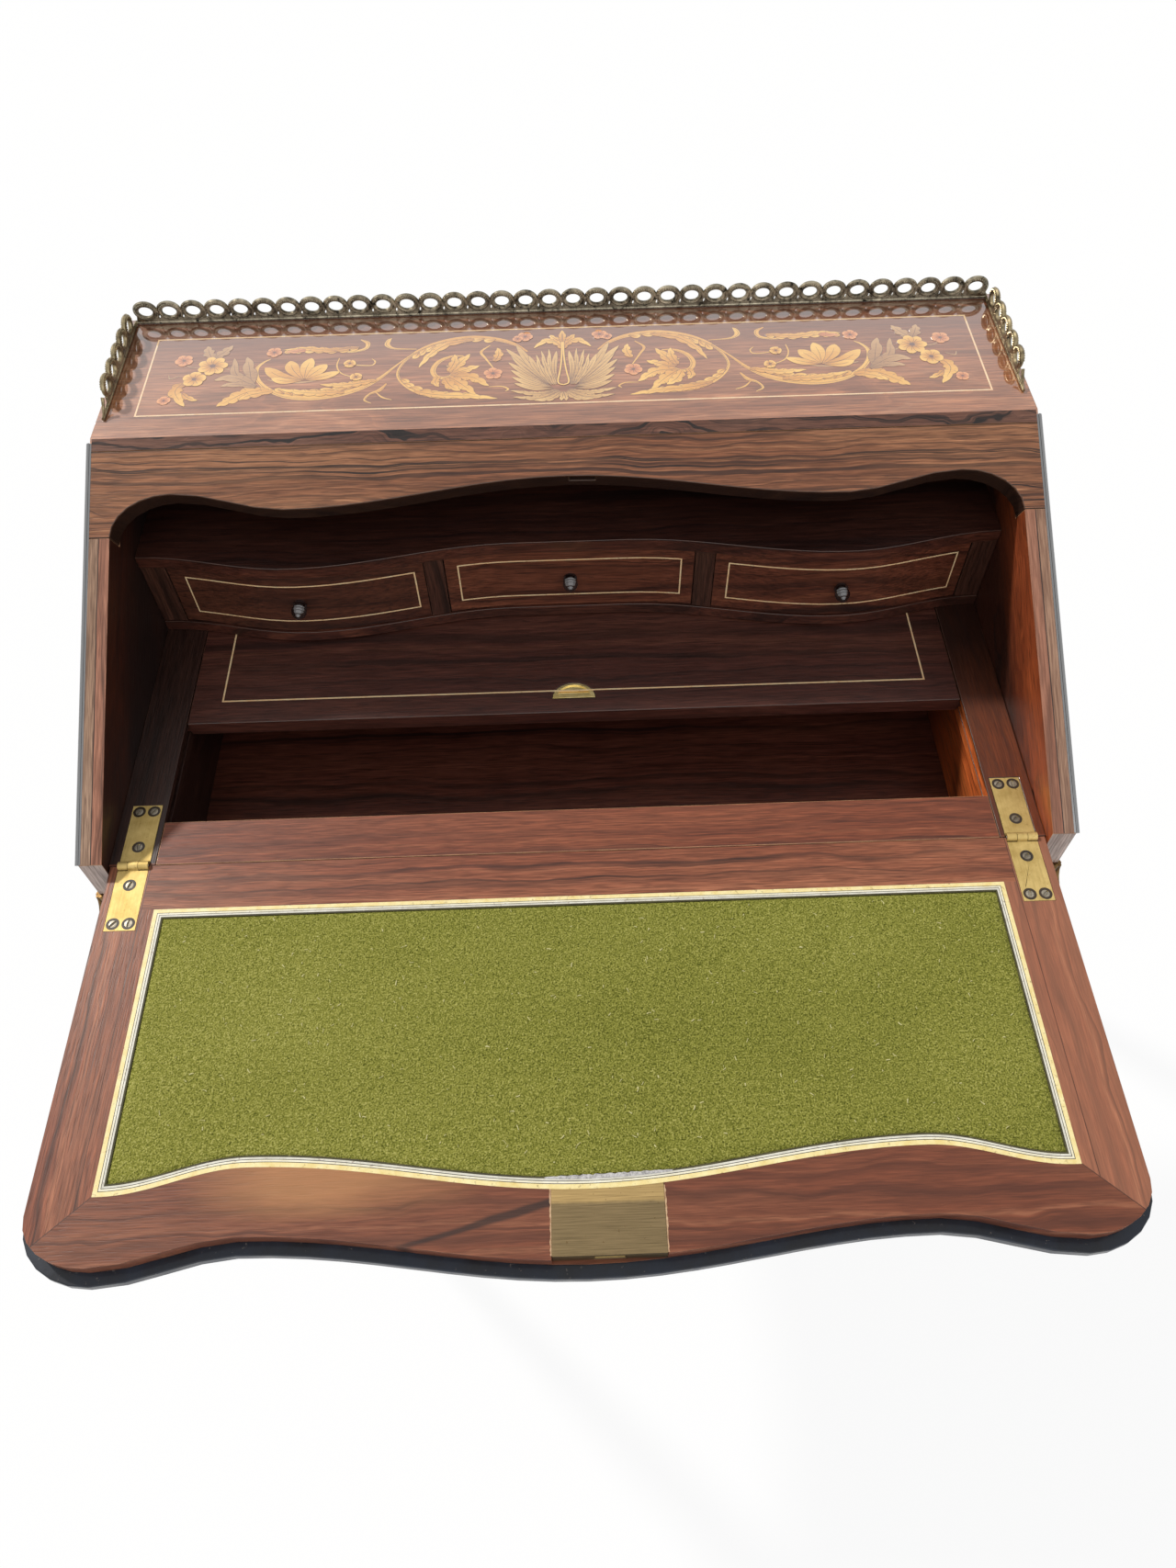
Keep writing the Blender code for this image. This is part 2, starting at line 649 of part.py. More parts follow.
def well_lid():
    """The sliding lid with tongues in the runners' grooves, and its flush half-moon pull."""
    top = -LID_DROP
    low = top - LID_THICKNESS
    tongue_top = top - TONGUE_DEPTH
    tongue_low = tongue_top - TONGUE_THICKNESS
    side = WELL_HALF - GAP
    tip = WELL_HALF + TONGUE_WIDTH
    right = [(side, low), (side, tongue_low),
             (tip, tongue_low + GAP), (tip, tongue_top - GAP), (side, tongue_top),
             (side, top)]
    section = right + [(-x, z) for x, z in reversed(right)]
    lid = piece("well_lid", upright([section], LID_FRONT, LID_FRONT + LID_LENGTH), LID, DARK_WOOD)
    flat_side = (0, LID_FRONT + PULL_SETBACK)

    def half_moon(grow):
        return ellipse(flat_side, PULL_RADIUS + grow, PULL_DEPTH + grow, -grow / PULL_DEPTH,
                       math.pi + grow / PULL_DEPTH)

    cut(lid, plate([half_moon(GAP)], top - PULL_THICKNESS - GAP, top + OVERCUT))
    pull = piece("well_lid_pull", plate([half_moon(0)], top - PULL_THICKNESS, top), LID, BRASS)
    middle = (0, flat_side[1] + PULL_RIM / 2)
    dish = ellipse(middle, PULL_RADIUS - PULL_RIM, PULL_DEPTH - PULL_RIM, 0, math.pi)
    cut(pull, plate([dish], top - PULL_DISH, top + OVERCUT))


def screw_holes(side, leaf_side):
    """Tools for the three countersunk screw holes of one leaf."""
    profile = [(0, OVERCUT), (SCREW_HEAD, OVERCUT), (SCREW_HEAD, 0), (SCREW_SHANK, -LEAF_THICKNESS),
               (SCREW_SHANK, -LEAF_THICKNESS - OVERCUT), (0, -LEAF_THICKNESS - OVERCUT)]
    spread_x = LEAF_WIDTH / 2 - SCREW_INSET
    far = leaf_side * (LEAF_LENGTH - SCREW_INSET)
    spots = [(-spread_x, far), (spread_x, far), (0, leaf_side * SCREW_NEAR)]
    return [turned(profile, Matrix.Translation((side * HINGE_X + x, y, 0)), 10) for x, y in spots]


def hinge_leaf(name, side, leaf_side, group):
    """A flush brass leaf with its share of the knuckle: outer barrels on the case, the rest on the fall."""
    x = side * HINGE_X
    half = LEAF_WIDTH / 2
    third = LEAF_WIDTH / 6
    if leaf_side > 0:
        inner = third + GAP
        near = [(half, 0), (inner, 0), (inner, KNUCKLE_CLEAR),
                (-inner, KNUCKLE_CLEAR), (-inner, 0), (-half, 0)]
        barrels = [(inner, half), (-half, -inner)]
    else:
        near = [(half, KNUCKLE_CLEAR), (third, KNUCKLE_CLEAR), (third, 0),
                (-third, 0), (-third, KNUCKLE_CLEAR), (-half, KNUCKLE_CLEAR)]
        barrels = [(-third, third)]
    outline = [(x + u, leaf_side * v) for u, v in [(-half, LEAF_LENGTH), (half, LEAF_LENGTH)] + near]
    leaf = piece(name, plate([outline], -LEAF_THICKNESS, 0), group, BRASS)
    for start, end in barrels:
        join(leaf, rod((x + start, 0, 0), (x + end, 0, 0), KNUCKLE_RADIUS))
    cut(leaf, rod((x - LEAF_WIDTH, 0, 0), (x + LEAF_WIDTH, 0, 0), PIN_RADIUS + PIN_PLAY))
    for hole in screw_holes(side, leaf_side):
        cut(leaf, hole)


def hinges():
    """Two desk hinges, each with a leaf on the case, a leaf on the fall and a pin."""
    for name, side in (("left", -1), ("right", 1)):
        hinge_leaf(name + "_hinge_case_leaf", side, 1, CASE)
        hinge_leaf(name + "_hinge_fall_leaf", side, -1, FALL)
        x = side * HINGE_X
        pin = rod((x - LEAF_WIDTH / 2, 0, 0), (x + LEAF_WIDTH / 2, 0, 0), PIN_RADIUS, 10)
        piece(name + "_hinge_pin", pin, CASE, STEEL)


def lock_front():
    """How far from the hinge line the lock's edge plate stands: just inside the serpentine edge."""
    return front_reach(abs(LOCK_X) + LOCK_WIDTH / 2) - FALL_CLEARANCE - GAP


def keyhole(low, high):
    """Tools for a keyhole: a round hole with a slot below it."""
    y = KEY_OFFSET - lock_front()
    slot = KEYHOLE_RADIUS / 2
    return [rod((LOCK_X, y, low), (LOCK_X, y, high), KEYHOLE_RADIUS),
            block((LOCK_X - slot, y, low), (LOCK_X + slot, y + KEYHOLE_DROP, high))]


def bolt_box(play, front):
    """The room that the bolt takes, with some play round it, from its tail to a front plane."""
    tail = lock_front() - BOLT_LENGTH
    half = BOLT_WIDTH / 2 + play
    return block((LOCK_X - half, -front, -BOLT_DROP - BOLT_THICKNESS - play),
                 (LOCK_X + half, -tail + play, -BOLT_DROP + play))


def fall_board():
    """The fall: a panel with a serpentine edge, rebated underneath for the lip, let in for its fittings."""
    clear = -FALL_CLEARANCE
    board = piece("fall_board", plate([fall_outline(clear, clear, GAP)], -FALL_THICKNESS, 0), FALL, ROSEWOOD)
    seat = clear - LIP_SEAT
    rebate = edge_band((LIP_FRONT, LIP_FRONT), (seat, seat), LIP_START - GAP)
    cut(board, plate([rebate], -FALL_THICKNESS - OVERCUT, -FACE_OFFSET))
    lip = edge_band((LIP_FRONT, LIP_SIDE), (seat + GAP, seat + GAP), LIP_START)
    piece("fall_edge_moulding", plate([lip], -FALL_THICKNESS, -FACE_OFFSET - GAP), FALL, EBONISED)
    cut(board, plate([velvet_outline(GAP)], -VELVET_THICKNESS - GAP, OVERCUT))
    piece("writing_velvet", plate([velvet_outline(0)], -VELVET_THICKNESS, 0), FALL, VELVET)
    for side in (-1, 1):
        for tool in hinge_pocket(side, -1):
            cut(board, tool)
    for tool in lock_pockets():
        cut(board, tool)


def velvet_outline(grow):
    """The velvet's edge: straight at the back and sides, serpentine at the front."""
    half = INNER - FALL_CLEARANCE - VELVET_SIDE_BORDER + grow
    front = [(x, VELVET_FRONT_BORDER - front_reach(x) - grow) for x in spread(-half, half, 2 * EDGE_STEPS)]
    back = grow - VELVET_REAR_BORDER
    return front + [(half, back), (-half, back)]


def lock_pockets():
    """Tools that let the lock's plate, edge plate and case into the fall, and the keyhole."""
    front = lock_front()
    half = LOCK_WIDTH / 2 + GAP
    case_half = LOCK_CASE_WIDTH / 2 + GAP
    deep = LOCK_PLATE + LOCK_CASE_DEPTH + GAP
    beyond = HUMP_REACH + LIP_FRONT
    plate_bed = block((LOCK_X - half, -beyond, -LOCK_PLATE - GAP),
                      (LOCK_X + half, LOCK_LENGTH - front + GAP, OVERCUT))
    edge_bed = block((LOCK_X - half, -beyond, -deep), (LOCK_X + half, LOCK_PLATE - front + GAP, OVERCUT))
    case_bed = block((LOCK_X - case_half, -beyond, -deep),
                     (LOCK_X + case_half, LOCK_PLATE + LOCK_CASE_LENGTH - front + GAP, OVERCUT))
    return [plate_bed, edge_bed, case_bed] + keyhole(-FALL_THICKNESS - OVERCUT, -LOCK_PLATE)


def lock():
    """A cut lock: plate folded over the fall's edge, case behind it, sliding bolt, and key escutcheon."""
    front = lock_front()
    rear = LOCK_LENGTH - front
    fold = LOCK_PLATE - front
    deep = -LOCK_PLATE - LOCK_CASE_DEPTH
    section = [(-front, 0), (rear, 0), (rear, -LOCK_PLATE), (fold, -LOCK_PLATE), (fold, deep), (-front, deep)]
    half = LOCK_WIDTH / 2
    sheet = piece("lock_plate", plate([section], LOCK_X - half, LOCK_X + half, PROFILE), FALL, BRASS)
    cut(sheet, bolt_box(GAP, front + OVERCUT))
    case_half = LOCK_CASE_WIDTH / 2
    body = block((LOCK_X - case_half, fold + GAP, deep),
                 (LOCK_X + case_half, fold + LOCK_CASE_LENGTH, -LOCK_PLATE - GAP))
    case = piece("lock_case", body, FALL, STEEL)
    cut(case, bolt_box(GAP, front + OVERCUT))
    bolt = carrier("lock_bolt_slide", LOCK_X, -front, -BOLT_DROP - BOLT_THICKNESS / 2)
    bolt.parent = FALL
    bolt.location = bolt.location - DATUM
    piece("lock_bolt", bolt_box(0, front - GAP), bolt, BRASS).location = -bolt.location
    centre = (LOCK_X, KEY_OFFSET - front + KEYHOLE_DROP / 3)
    shield = ellipse(centre, ESCUTCHEON_WIDTH / 2, ESCUTCHEON_HEIGHT / 2, steps=2 * ROUND_STEPS)[:-1]
    low = -FALL_THICKNESS - GAP - ESCUTCHEON_THICKNESS
    escutcheon = piece("key_escutcheon", plate([shield], low, -FALL_THICKNESS - GAP), FALL, BRASS)
    for tool in keyhole(low - OVERCUT, -FALL_THICKNESS + OVERCUT):
        cut(escutcheon, tool)


def gallery_loops(length, tail):
    """Outline and piercings of a gallery strip: a base rail under a row of rings that touch."""
    count = int((length - tail) / RING_PITCH)
    margin = tail + (length - tail - count * RING_PITCH) / 2
    half_height = RING_HEIGHT / 2
    centres = [(margin + (k + 0.5) * RING_PITCH, GALLERY_HEIGHT - half_height) for k in range(count)]
    outline = [(0, 0), (length, 0), (length, GALLERY_BASE)]
    for centre in reversed(centres):
        outline += ellipse(centre, RING_PITCH / 2, half_height,
                           RING_LANDING, math.pi - RING_LANDING, ARC_STEPS)
    outline.append((0, GALLERY_BASE))
    holes = [ellipse(centre, RING_HOLE, RING_HOLE, steps=ROUND_STEPS - 2)[:-1] for centre in centres]
    return [outline] + holes


def gallery():
    """Pierced gallery round the back and sides of the top, the side runs ending in a low tail."""
    base = TOP_RISE + GAP
    outer = CASE_WIDTH / 2 - GALLERY_INSET
    rear = CASE_REACH - GALLERY_INSET
    run = [[(u - outer, v + base) for u, v in loop] for loop in gallery_loops(2 * outer, 0)]
    piece("gallery_back", upright(run, rear - GALLERY_THICKNESS, rear), CASE, OLD_BRASS)
    start = on_slant(reach_at_level(TOP_RISE, FACE_OFFSET), FACE_OFFSET)[0] + GALLERY_START
    length = rear - GALLERY_THICKNESS - GAP - start
    run = [[(u + start, v + base) for u, v in loop] for loop in gallery_loops(length, TAIL_LENGTH)]
    for name, side in (("gallery_left", -1), ("gallery_right", 1)):
        low, high = sorted((side * outer, side * (outer - GALLERY_THICKNESS)))
        piece(name, plate(run, low, high, PROFILE), CASE, OLD_BRASS)


def leg_shape(level):
    """How far a leg stands out past the case's corner, and its width, at a level."""
    stations = [(LEG_HEAD, 0, LEG_TOP), (LEG_HEAD - KNEE_DROP, KNEE_OUT, KNEE_WIDTH),
                (ANKLE_HEIGHT - WRITING_HEIGHT, -ANKLE_IN, ANKLE_WIDTH),
                (-WRITING_HEIGHT, TOE_OUT, TOE_WIDTH)]
    for upper, lower in zip(stations, stations[1:]):
        share = (upper[0] - level) / (upper[0] - lower[0])
        if share <= 1:
            break
    return ease(upper[1], lower[1], share), ease(upper[2], lower[2], share)


def octagon(low, high, chamfer, level):
    """A rectangle with its corners taken off, at a level."""
    (x0, y0), (x1, y1) = low, high
    c = chamfer
    flat = [(x0 + c, y0), (x1 - c, y0), (x1, y0 + c), (x1, y1 - c),
            (x1 - c, y1), (x0 + c, y1), (x0, y1 - c), (x0, y0 + c)]
    return [(x, y, level) for x, y in flat]


def leg_ring(side, front, level, grow=0.0):
    """Section of a leg at a level, on one side, at the front or the back."""
    out, width = leg_shape(level)
    outer_x = side * (CASE_WIDTH / 2 + out + grow)
    inner_x = outer_x - side * (width + 2 * grow)
    outer_y = -FRONT_STEP - out - grow if front else CASE_REACH + out + grow
    inner_y = outer_y + (width + 2 * grow if front else -width - 2 * grow)
    low = (min(outer_x, inner_x), min(outer_y, inner_y))
    high = (max(outer_x, inner_x), max(outer_y, inner_y))
    return octagon(low, high, LEG_CHAMFER * width, level)


def leg_levels():
    """Levels of a leg's sections from the case down to where it stands in its sabot."""
    knee = LEG_HEAD - KNEE_DROP
    tail = LEG_HEAD - MOUNT_TAIL
    ankle = ANKLE_HEIGHT - WRITING_HEIGHT
    return (spread(LEG_HEAD, knee, 5) + spread(knee, tail, 4)[1:] + spread(tail, ankle, 9)[1:]
            + spread(ankle, SABOT_TOP, 2)[1:] + spread(SABOT_TOP, LEG_END, 3)[1:])


def leg(name, side, front):
    """A cabriole leg: square post inside the case, shoulder, knee, ankle and toe."""
    near_x, far_x = sorted((side * (WEB_OUTER + GAP), side * (INNER - GAP)))
    post_front = APRON_BACK + GAP if front else REAR - POST_LENGTH
    post_top = -FALL_THICKNESS - GAP
    post = [octagon((near_x, post_front), (far_x, post_front + POST_LENGTH), GAP, level)
            for level in (post_top, LEG_HEAD)]
    rings = post + [leg_ring(side, front, level) for level in leg_levels()]
    piece(name, loft(rings), CASE, ROSEWOOD)


def sabot(name, side, front):
    """A bronze shoe round a leg's toe."""
    levels = [level for level in leg_levels() if level <= SABOT_TOP + WELD]
    outer = [leg_ring(side, front, level, SABOT_WALL + GAP) for level in [-WRITING_HEIGHT] + levels[::-1]]
    inner = [leg_ring(side, front, level, GAP) for level in levels + [LEG_END - GAP]]
    piece(name, loft(outer + inner), CASE, BRONZE)


def mount_section(x, y, arm, bulge):
    """Section of a mount folded round a corner: thin at the ends of its two arms, rounded over the fold."""
    fold = ellipse((x, y), bulge, bulge, 0, -math.pi / 2, ARC_STEPS // 2)
    inside = [(x - arm, y), (x, y), (x, y + arm), (x + MOUNT_EDGE, y + arm)]
    return inside + fold + [(x - arm, y - MOUNT_EDGE)]


def corner_mount(name, side):
    """A bronze leaf mount folded round a front corner, from under the stile down over the leg's knee."""
    head = -MOUNT_START
    belly = -MOUNT_BELLY
    tail = LEG_HEAD - MOUNT_TAIL
    levels = spread(head, -SIDE_DROP, 8) + [z for z in leg_levels() if z >= tail - WELD]
    rings = []
    for level in levels:
        if level > belly:
            share = (head - level) / (head - belly)
            arm = ease(MOUNT_HEAD_ARM, MOUNT_ARM, share)
            bulge = ease(MOUNT_TIP, MOUNT_BULGE, share)
        else:
            share = (belly - level) / (belly - tail)
            arm = ease(MOUNT_ARM, MOUNT_TIP, share)
            bulge = ease(MOUNT_BULGE, MOUNT_TIP, share)
        lobe = abs(math.sin(math.pi * MOUNT_LOBES * (head - level) / (head - tail)))
        out = leg_shape(level)[0] if level <= LEG_HEAD else 0
        arm *= 1 - MOUNT_SCALLOP * lobe
        section = mount_section(CASE_WIDTH / 2 + out + GAP, -FRONT_STEP - out - GAP, arm, bulge)
        rings.append([(side * x, y, level) for x, y in section])
    piece(name, loft(rings), CASE, BRONZE)


for label, sign in (("left", -1), ("right", 1)):
    side_panel(label + "_side", sign)
    edge_bead(label + "_edge_bead", sign)
    well_side(label + "_well_side", sign)
    leg("front_" + label + "_leg", sign, True)
    leg("back_" + label + "_leg", sign, False)
    sabot("front_" + label + "_sabot", sign, True)
    sabot("back_" + label + "_sabot", sign, False)
    corner_mount("front_" + label + "_mount", sign)
top_board()
slant_rail()
front_apron()
back_and_floor()
front_board()
drawer_nest()
gallery()
hinges()
fall_board()
lock()
well_lid()
drawer("left_drawer", -SIDE_DRAWER[1], -SIDE_DRAWER[0])
drawer("centre_drawer", -CENTRE_DRAWER / 2, CENTRE_DRAWER / 2)
drawer("right_drawer", *SIDE_DRAWER)
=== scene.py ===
import math
import random

import bmesh
import bpy
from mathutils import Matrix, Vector
from mathutils.bvhtree import BVHTree


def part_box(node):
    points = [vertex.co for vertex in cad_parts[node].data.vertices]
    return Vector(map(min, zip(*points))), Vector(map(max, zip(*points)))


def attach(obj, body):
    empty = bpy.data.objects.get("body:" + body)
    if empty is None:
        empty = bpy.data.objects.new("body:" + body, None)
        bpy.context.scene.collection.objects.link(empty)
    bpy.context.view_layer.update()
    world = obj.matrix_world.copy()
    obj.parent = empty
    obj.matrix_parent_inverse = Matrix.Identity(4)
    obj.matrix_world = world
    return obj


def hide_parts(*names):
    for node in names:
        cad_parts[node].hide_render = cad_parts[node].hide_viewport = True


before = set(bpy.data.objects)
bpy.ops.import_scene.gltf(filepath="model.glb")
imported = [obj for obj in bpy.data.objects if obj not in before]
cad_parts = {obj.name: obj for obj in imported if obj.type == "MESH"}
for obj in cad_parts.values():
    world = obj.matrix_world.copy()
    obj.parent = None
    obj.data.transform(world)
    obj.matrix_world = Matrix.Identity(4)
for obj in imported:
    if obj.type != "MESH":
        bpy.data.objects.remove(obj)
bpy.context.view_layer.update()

# Studio: a pale seamless floor, daylight from behind the desk's left shoulder, a weak sky
# and a broad soft fill.  The camera stands over the open fall and looks down into the desk.
FLOOR_REACH = 9.0
FLOOR_WAVE = 0.0004
FLOOR_SQUARES = 24
FLOOR_SHARE_OF_WHITE = 0.92
DAYLIGHT_FROM = Vector((-0.60, 0.52, 0.66))
DAYLIGHT_SOFTNESS = math.radians(4)
DAYLIGHT = 2.85
DAYLIGHT_TINT = (1.0, 0.965, 0.91)
FILL_FROM = Vector((0.1, -0.8, 0.6))
FILL_SOFTNESS = math.radians(70)
FILL = 0.95
FILL_TINT = (0.96, 0.98, 1.0)
SKY_LIGHT = 0.26
WHITE = (1, 1, 1, 1)
CAMERA_PLACE = (0.005748, -0.501881, 1.407968)
CAMERA_TILT = (34.829, 0.897, -1.650)
CAMERA_LENS = 25.677
CAMERA_FILM = 36.0
CAMERA_NEAREST = 0.01

scene = bpy.context.scene
scene.view_settings.view_transform = "Standard"


def tone(red, green, blue):
    """A colour as it is seen, from 0 to 255, as the light values a finish is mixed from."""
    def light(level):
        level /= 255
        return level / 12.92 if level <= 0.04045 else ((level + 0.055) / 1.055) ** 2.4
    return (light(red), light(green), light(blue), 1.0)


def fit(tree, kind, sockets=None, **settings):
    """One node of a finish: its settings, then for each socket a value or what feeds it."""
    node = tree.nodes.new(kind)
    for key, value in settings.items():
        setattr(node, key, value)
    for key, value in (sockets or {}).items():
        if isinstance(value, bpy.types.NodeSocket):
            tree.links.new(value, node.inputs[key])
        else:
            node.inputs[key].default_value = value
    return node


def calc(tree, operation, *values):
    """The result of a sum on one, two or three values."""
    return fit(tree, "ShaderNodeMath", dict(enumerate(values)), operation=operation).outputs[0]


def spot_on(tree):
    """The place on a piece that is being coloured."""
    return fit(tree, "ShaderNodeTexCoord").outputs["Object"]


def speckle(tree, place, scale=1.0, detail=2.0, rough=0.5, out="Fac"):
    """An even random pattern over a place."""
    sockets = {"Vector": place, "Scale": scale, "Detail": detail, "Roughness": rough}
    return fit(tree, "ShaderNodeTexNoise", sockets).outputs[out]


def ramp(tree, value, *stops):
    """Colours as they are seen, or four light values, laid along a value."""
    node = fit(tree, "ShaderNodeValToRGB", {"Fac": value})
    steps = node.color_ramp.elements
    while len(steps) < len(stops):
        steps.new(0.5)
    for step, (place, colour) in zip(steps, stops):
        step.position = place
        step.color = colour if len(colour) == 4 else tone(*colour)
    return node.outputs[0]


def seen_or_mirrored(tree):
    """One for rays from the camera, from a mirror or through glass, nought for the rest."""
    path = fit(tree, "ShaderNodeLightPath").outputs
    shiny = calc(tree, "MAXIMUM", path["Is Glossy Ray"], path["Is Transmission Ray"])
    return calc(tree, "MAXIMUM", path["Is Camera Ray"], shiny)


def floor_finish():
    """Pale paint, seen as nearly white, that still takes the desk's shadow."""
    finish = bpy.data.materials.new("pale_floor")
    finish.use_nodes = True
    tree = finish.node_tree
    tree.nodes.clear()
    cloud = speckle(tree, spot_on(tree), 3.0, 4.0)
    colour = ramp(tree, cloud, (0.0, (251, 251, 251)), (1.0, (255, 255, 255)))
    paint = fit(tree, "ShaderNodeBsdfDiffuse", {"Color": colour}).outputs[0]
    white = fit(tree, "ShaderNodeEmission", {"Color": WHITE, "Strength": 1.0}).outputs[0]
    share = calc(tree, "MULTIPLY", seen_or_mirrored(tree), FLOOR_SHARE_OF_WHITE)
    mixed = fit(tree, "ShaderNodeMixShader", {0: share, 1: paint, 2: white}).outputs[0]
    fit(tree, "ShaderNodeOutputMaterial", {"Surface": mixed})
    return finish


floor_mesh = bpy.data.meshes.new("studio_floor")
ground = bmesh.new()
bmesh.ops.create_grid(ground, x_segments=FLOOR_SQUARES, y_segments=FLOOR_SQUARES,
                      size=FLOOR_REACH)
for corner in ground.verts:
    corner.co.z = -FLOOR_WAVE * (1 - math.cos(corner.co.x) * math.cos(corner.co.y))
ground.to_mesh(floor_mesh)
ground.free()
floor_mesh.materials.append(floor_finish())
studio_floor = bpy.data.objects.new("studio_floor", floor_mesh)
scene.collection.objects.link(studio_floor)

for name, origin, softness, strength, tint in (
        ("daylight", DAYLIGHT_FROM, DAYLIGHT_SOFTNESS, DAYLIGHT, DAYLIGHT_TINT),
        ("soft_fill", FILL_FROM, FILL_SOFTNESS, FILL, FILL_TINT)):
    lamp = bpy.data.lights.new(name, "SUN")
    lamp.energy = strength
    lamp.angle = softness
    lamp.color = tint
    lamp_stand = bpy.data.objects.new(name, lamp)
    lamp_stand.rotation_euler = origin.to_track_quat("Z", "Y").to_euler()
    scene.collection.objects.link(lamp_stand)

sky = bpy.data.worlds.new("even_sky")
sky.use_nodes = True
heaven = sky.node_tree
heaven.nodes.clear()
level = calc(heaven, "MULTIPLY_ADD", seen_or_mirrored(heaven), 1 - SKY_LIGHT, SKY_LIGHT)
glow = fit(heaven, "ShaderNodeBackground", {"Color": WHITE, "Strength": level}).outputs[0]
fit(heaven, "ShaderNodeOutputWorld", {"Surface": glow})
scene.world = sky

lens = bpy.data.cameras.new("camera")
lens.lens = CAMERA_LENS
lens.sensor_width = CAMERA_FILM
lens.clip_start = CAMERA_NEAREST
camera = bpy.data.objects.new("camera", lens)
camera.location = CAMERA_PLACE
camera.rotation_euler = [math.radians(turn) for turn in CAMERA_TILT]
scene.collection.objects.link(camera)
scene.camera = camera

# Sides: solid boards veneered in rosewood, the grain running up the slant inside and level
# outside.  They carry the top, the rail and the well, and use has rubbed their arrises pale.
# Every length is taken from the middle of the fall's hinge line.
SLANT = math.radians(27.3)
FRAME_FACE = 0.012
SIDE_INNER, SIDE_OUTER = 0.340, 0.3565
SIDE_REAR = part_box("left_side")[1][1]
SKIN = 0.001
OUTER_VENEER = 0.004
WALL_SHADOW_DEPTH, WALL_LIT_DEPTH = -0.045, -0.012
ARRIS = 0.0006
SHARP_CORNER = math.radians(34)
SEAM = 0.00002
FLAT_WITHIN = math.radians(0.4)
SIDE_WOOD = dict(ground=(132, 62, 34), streak=(58, 26, 16), gleam=(168, 86, 46), lines=0.8)
RUBBED_WOOD = ((150, 104, 74), (186, 140, 100))

pin_low, pin_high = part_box("left_hinge_pin")
HINGE_Y = (pin_low[1] + pin_high[1]) / 2
HINGE_Z = (pin_low[2] + pin_high[2]) / 2


def at(x, y, z):
    """A point measured from the middle of the hinge line: across, back and up."""
    return (x, HINGE_Y + y, HINGE_Z + z)


def on_slant(x, reach, lift):
    """A point measured up the slant from the hinge line, and out from the slant."""
    back = reach * math.cos(SLANT) - lift * math.sin(SLANT)
    rise = reach * math.sin(SLANT) + lift * math.cos(SLANT)
    return at(x, back, rise)


def new_finish(name, **sockets):
    """A bare finish, its nodes, its shader with what is the same all over, and its places."""
    finish = bpy.data.materials.new(name)
    finish.use_nodes = True
    tree = finish.node_tree
    tree.nodes.clear()
    sockets = {key.replace("_", " "): value for key, value in sockets.items()}
    shader = fit(tree, "ShaderNodeBsdfPrincipled", sockets)
    fit(tree, "ShaderNodeOutputMaterial", {"Surface": shader.outputs[0]})
    return finish, tree, shader, spot_on(tree)


def laid_on(tree, shader, colour, rough=None, height=None, strength=0.1, depth=0.0002):
    """Gives a shader its colour, its roughness and the fine relief of its surface."""
    tree.links.new(colour, shader.inputs["Base Color"])
    if rough is not None:
        tree.links.new(rough, shader.inputs["Roughness"])
    if height is not None:
        relief = {"Height": height, "Strength": strength, "Distance": depth}
        bump = fit(tree, "ShaderNodeBump", relief)
        tree.links.new(bump.outputs[0], shader.inputs["Normal"])


def stretched(tree, place, lengths):
    """A place scaled unevenly, so that a pattern made from it runs long one way."""
    sockets = {0: place, 1: lengths}
    return fit(tree, "ShaderNodeVectorMath", sockets, operation="MULTIPLY").outputs[0]


def strands(tree, place, lengths, detail=3.0, rough=0.5, out="Fac"):
    """A random pattern drawn out into strands."""
    return speckle(tree, stretched(tree, place, lengths), 1.0, detail, rough, out)


def above(tree, value, low, high, most=1.0):
    """Nought up to low, then rising to most at high."""
    return ramp(tree, value, (low, (0, 0, 0, 1)), (high, (most, most, most, 1)))


def ranged(tree, value, low, high, first=0.0, last=1.0):
    """A value from low to high taken to run from first to last."""
    sockets = {"Value": value, "From Min": low, "From Max": high, "To Min": first, "To Max": last}
    return fit(tree, "ShaderNodeMapRange", sockets).outputs[0]


def spread_over(tree, value, low, high):
    """A pattern's middle range taken to run from low to high."""
    return ranged(tree, value, 0.3, 0.7, low, high)


def varied(tree, pattern, amount, value):
    """A value raised and lowered by an amount of a pattern."""
    return calc(tree, "MULTIPLY_ADD", calc(tree, "SUBTRACT", pattern, 0.5), amount, value)


def product(tree, *values):
    """Several shares multiplied together."""
    whole = values[0]
    for value in values[1:]:
        whole = calc(tree, "MULTIPLY", whole, value)
    return whole


def blended(tree, share, under, over, how="MIX"):
    """One colour laid over another by a share."""
    if not isinstance(over, bpy.types.NodeSocket):
        over = tone(*over)
    sockets = {0: share, 6: under, 7: over}
    return fit(tree, "ShaderNodeMix", sockets, data_type="RGBA", blend_type=how).outputs[2]


def along(turn, heart):
    """Lays the grain along a board: how it is turned, and where the tree's heart then lies."""
    def lay(tree, spot):
        sockets = {"Vector": spot, "Rotation": turn, "Location": heart}
        return fit(tree, "ShaderNodeMapping", sockets).outputs[0]
    return lay


LEVEL_ACROSS = (0, 0, 0)
LEVEL_BACK = (0, 0, -math.pi / 2)
UPRIGHT = (0, math.pi / 2, 0)
UP_THE_SLANT = (-SLANT, 0, -math.pi / 2)


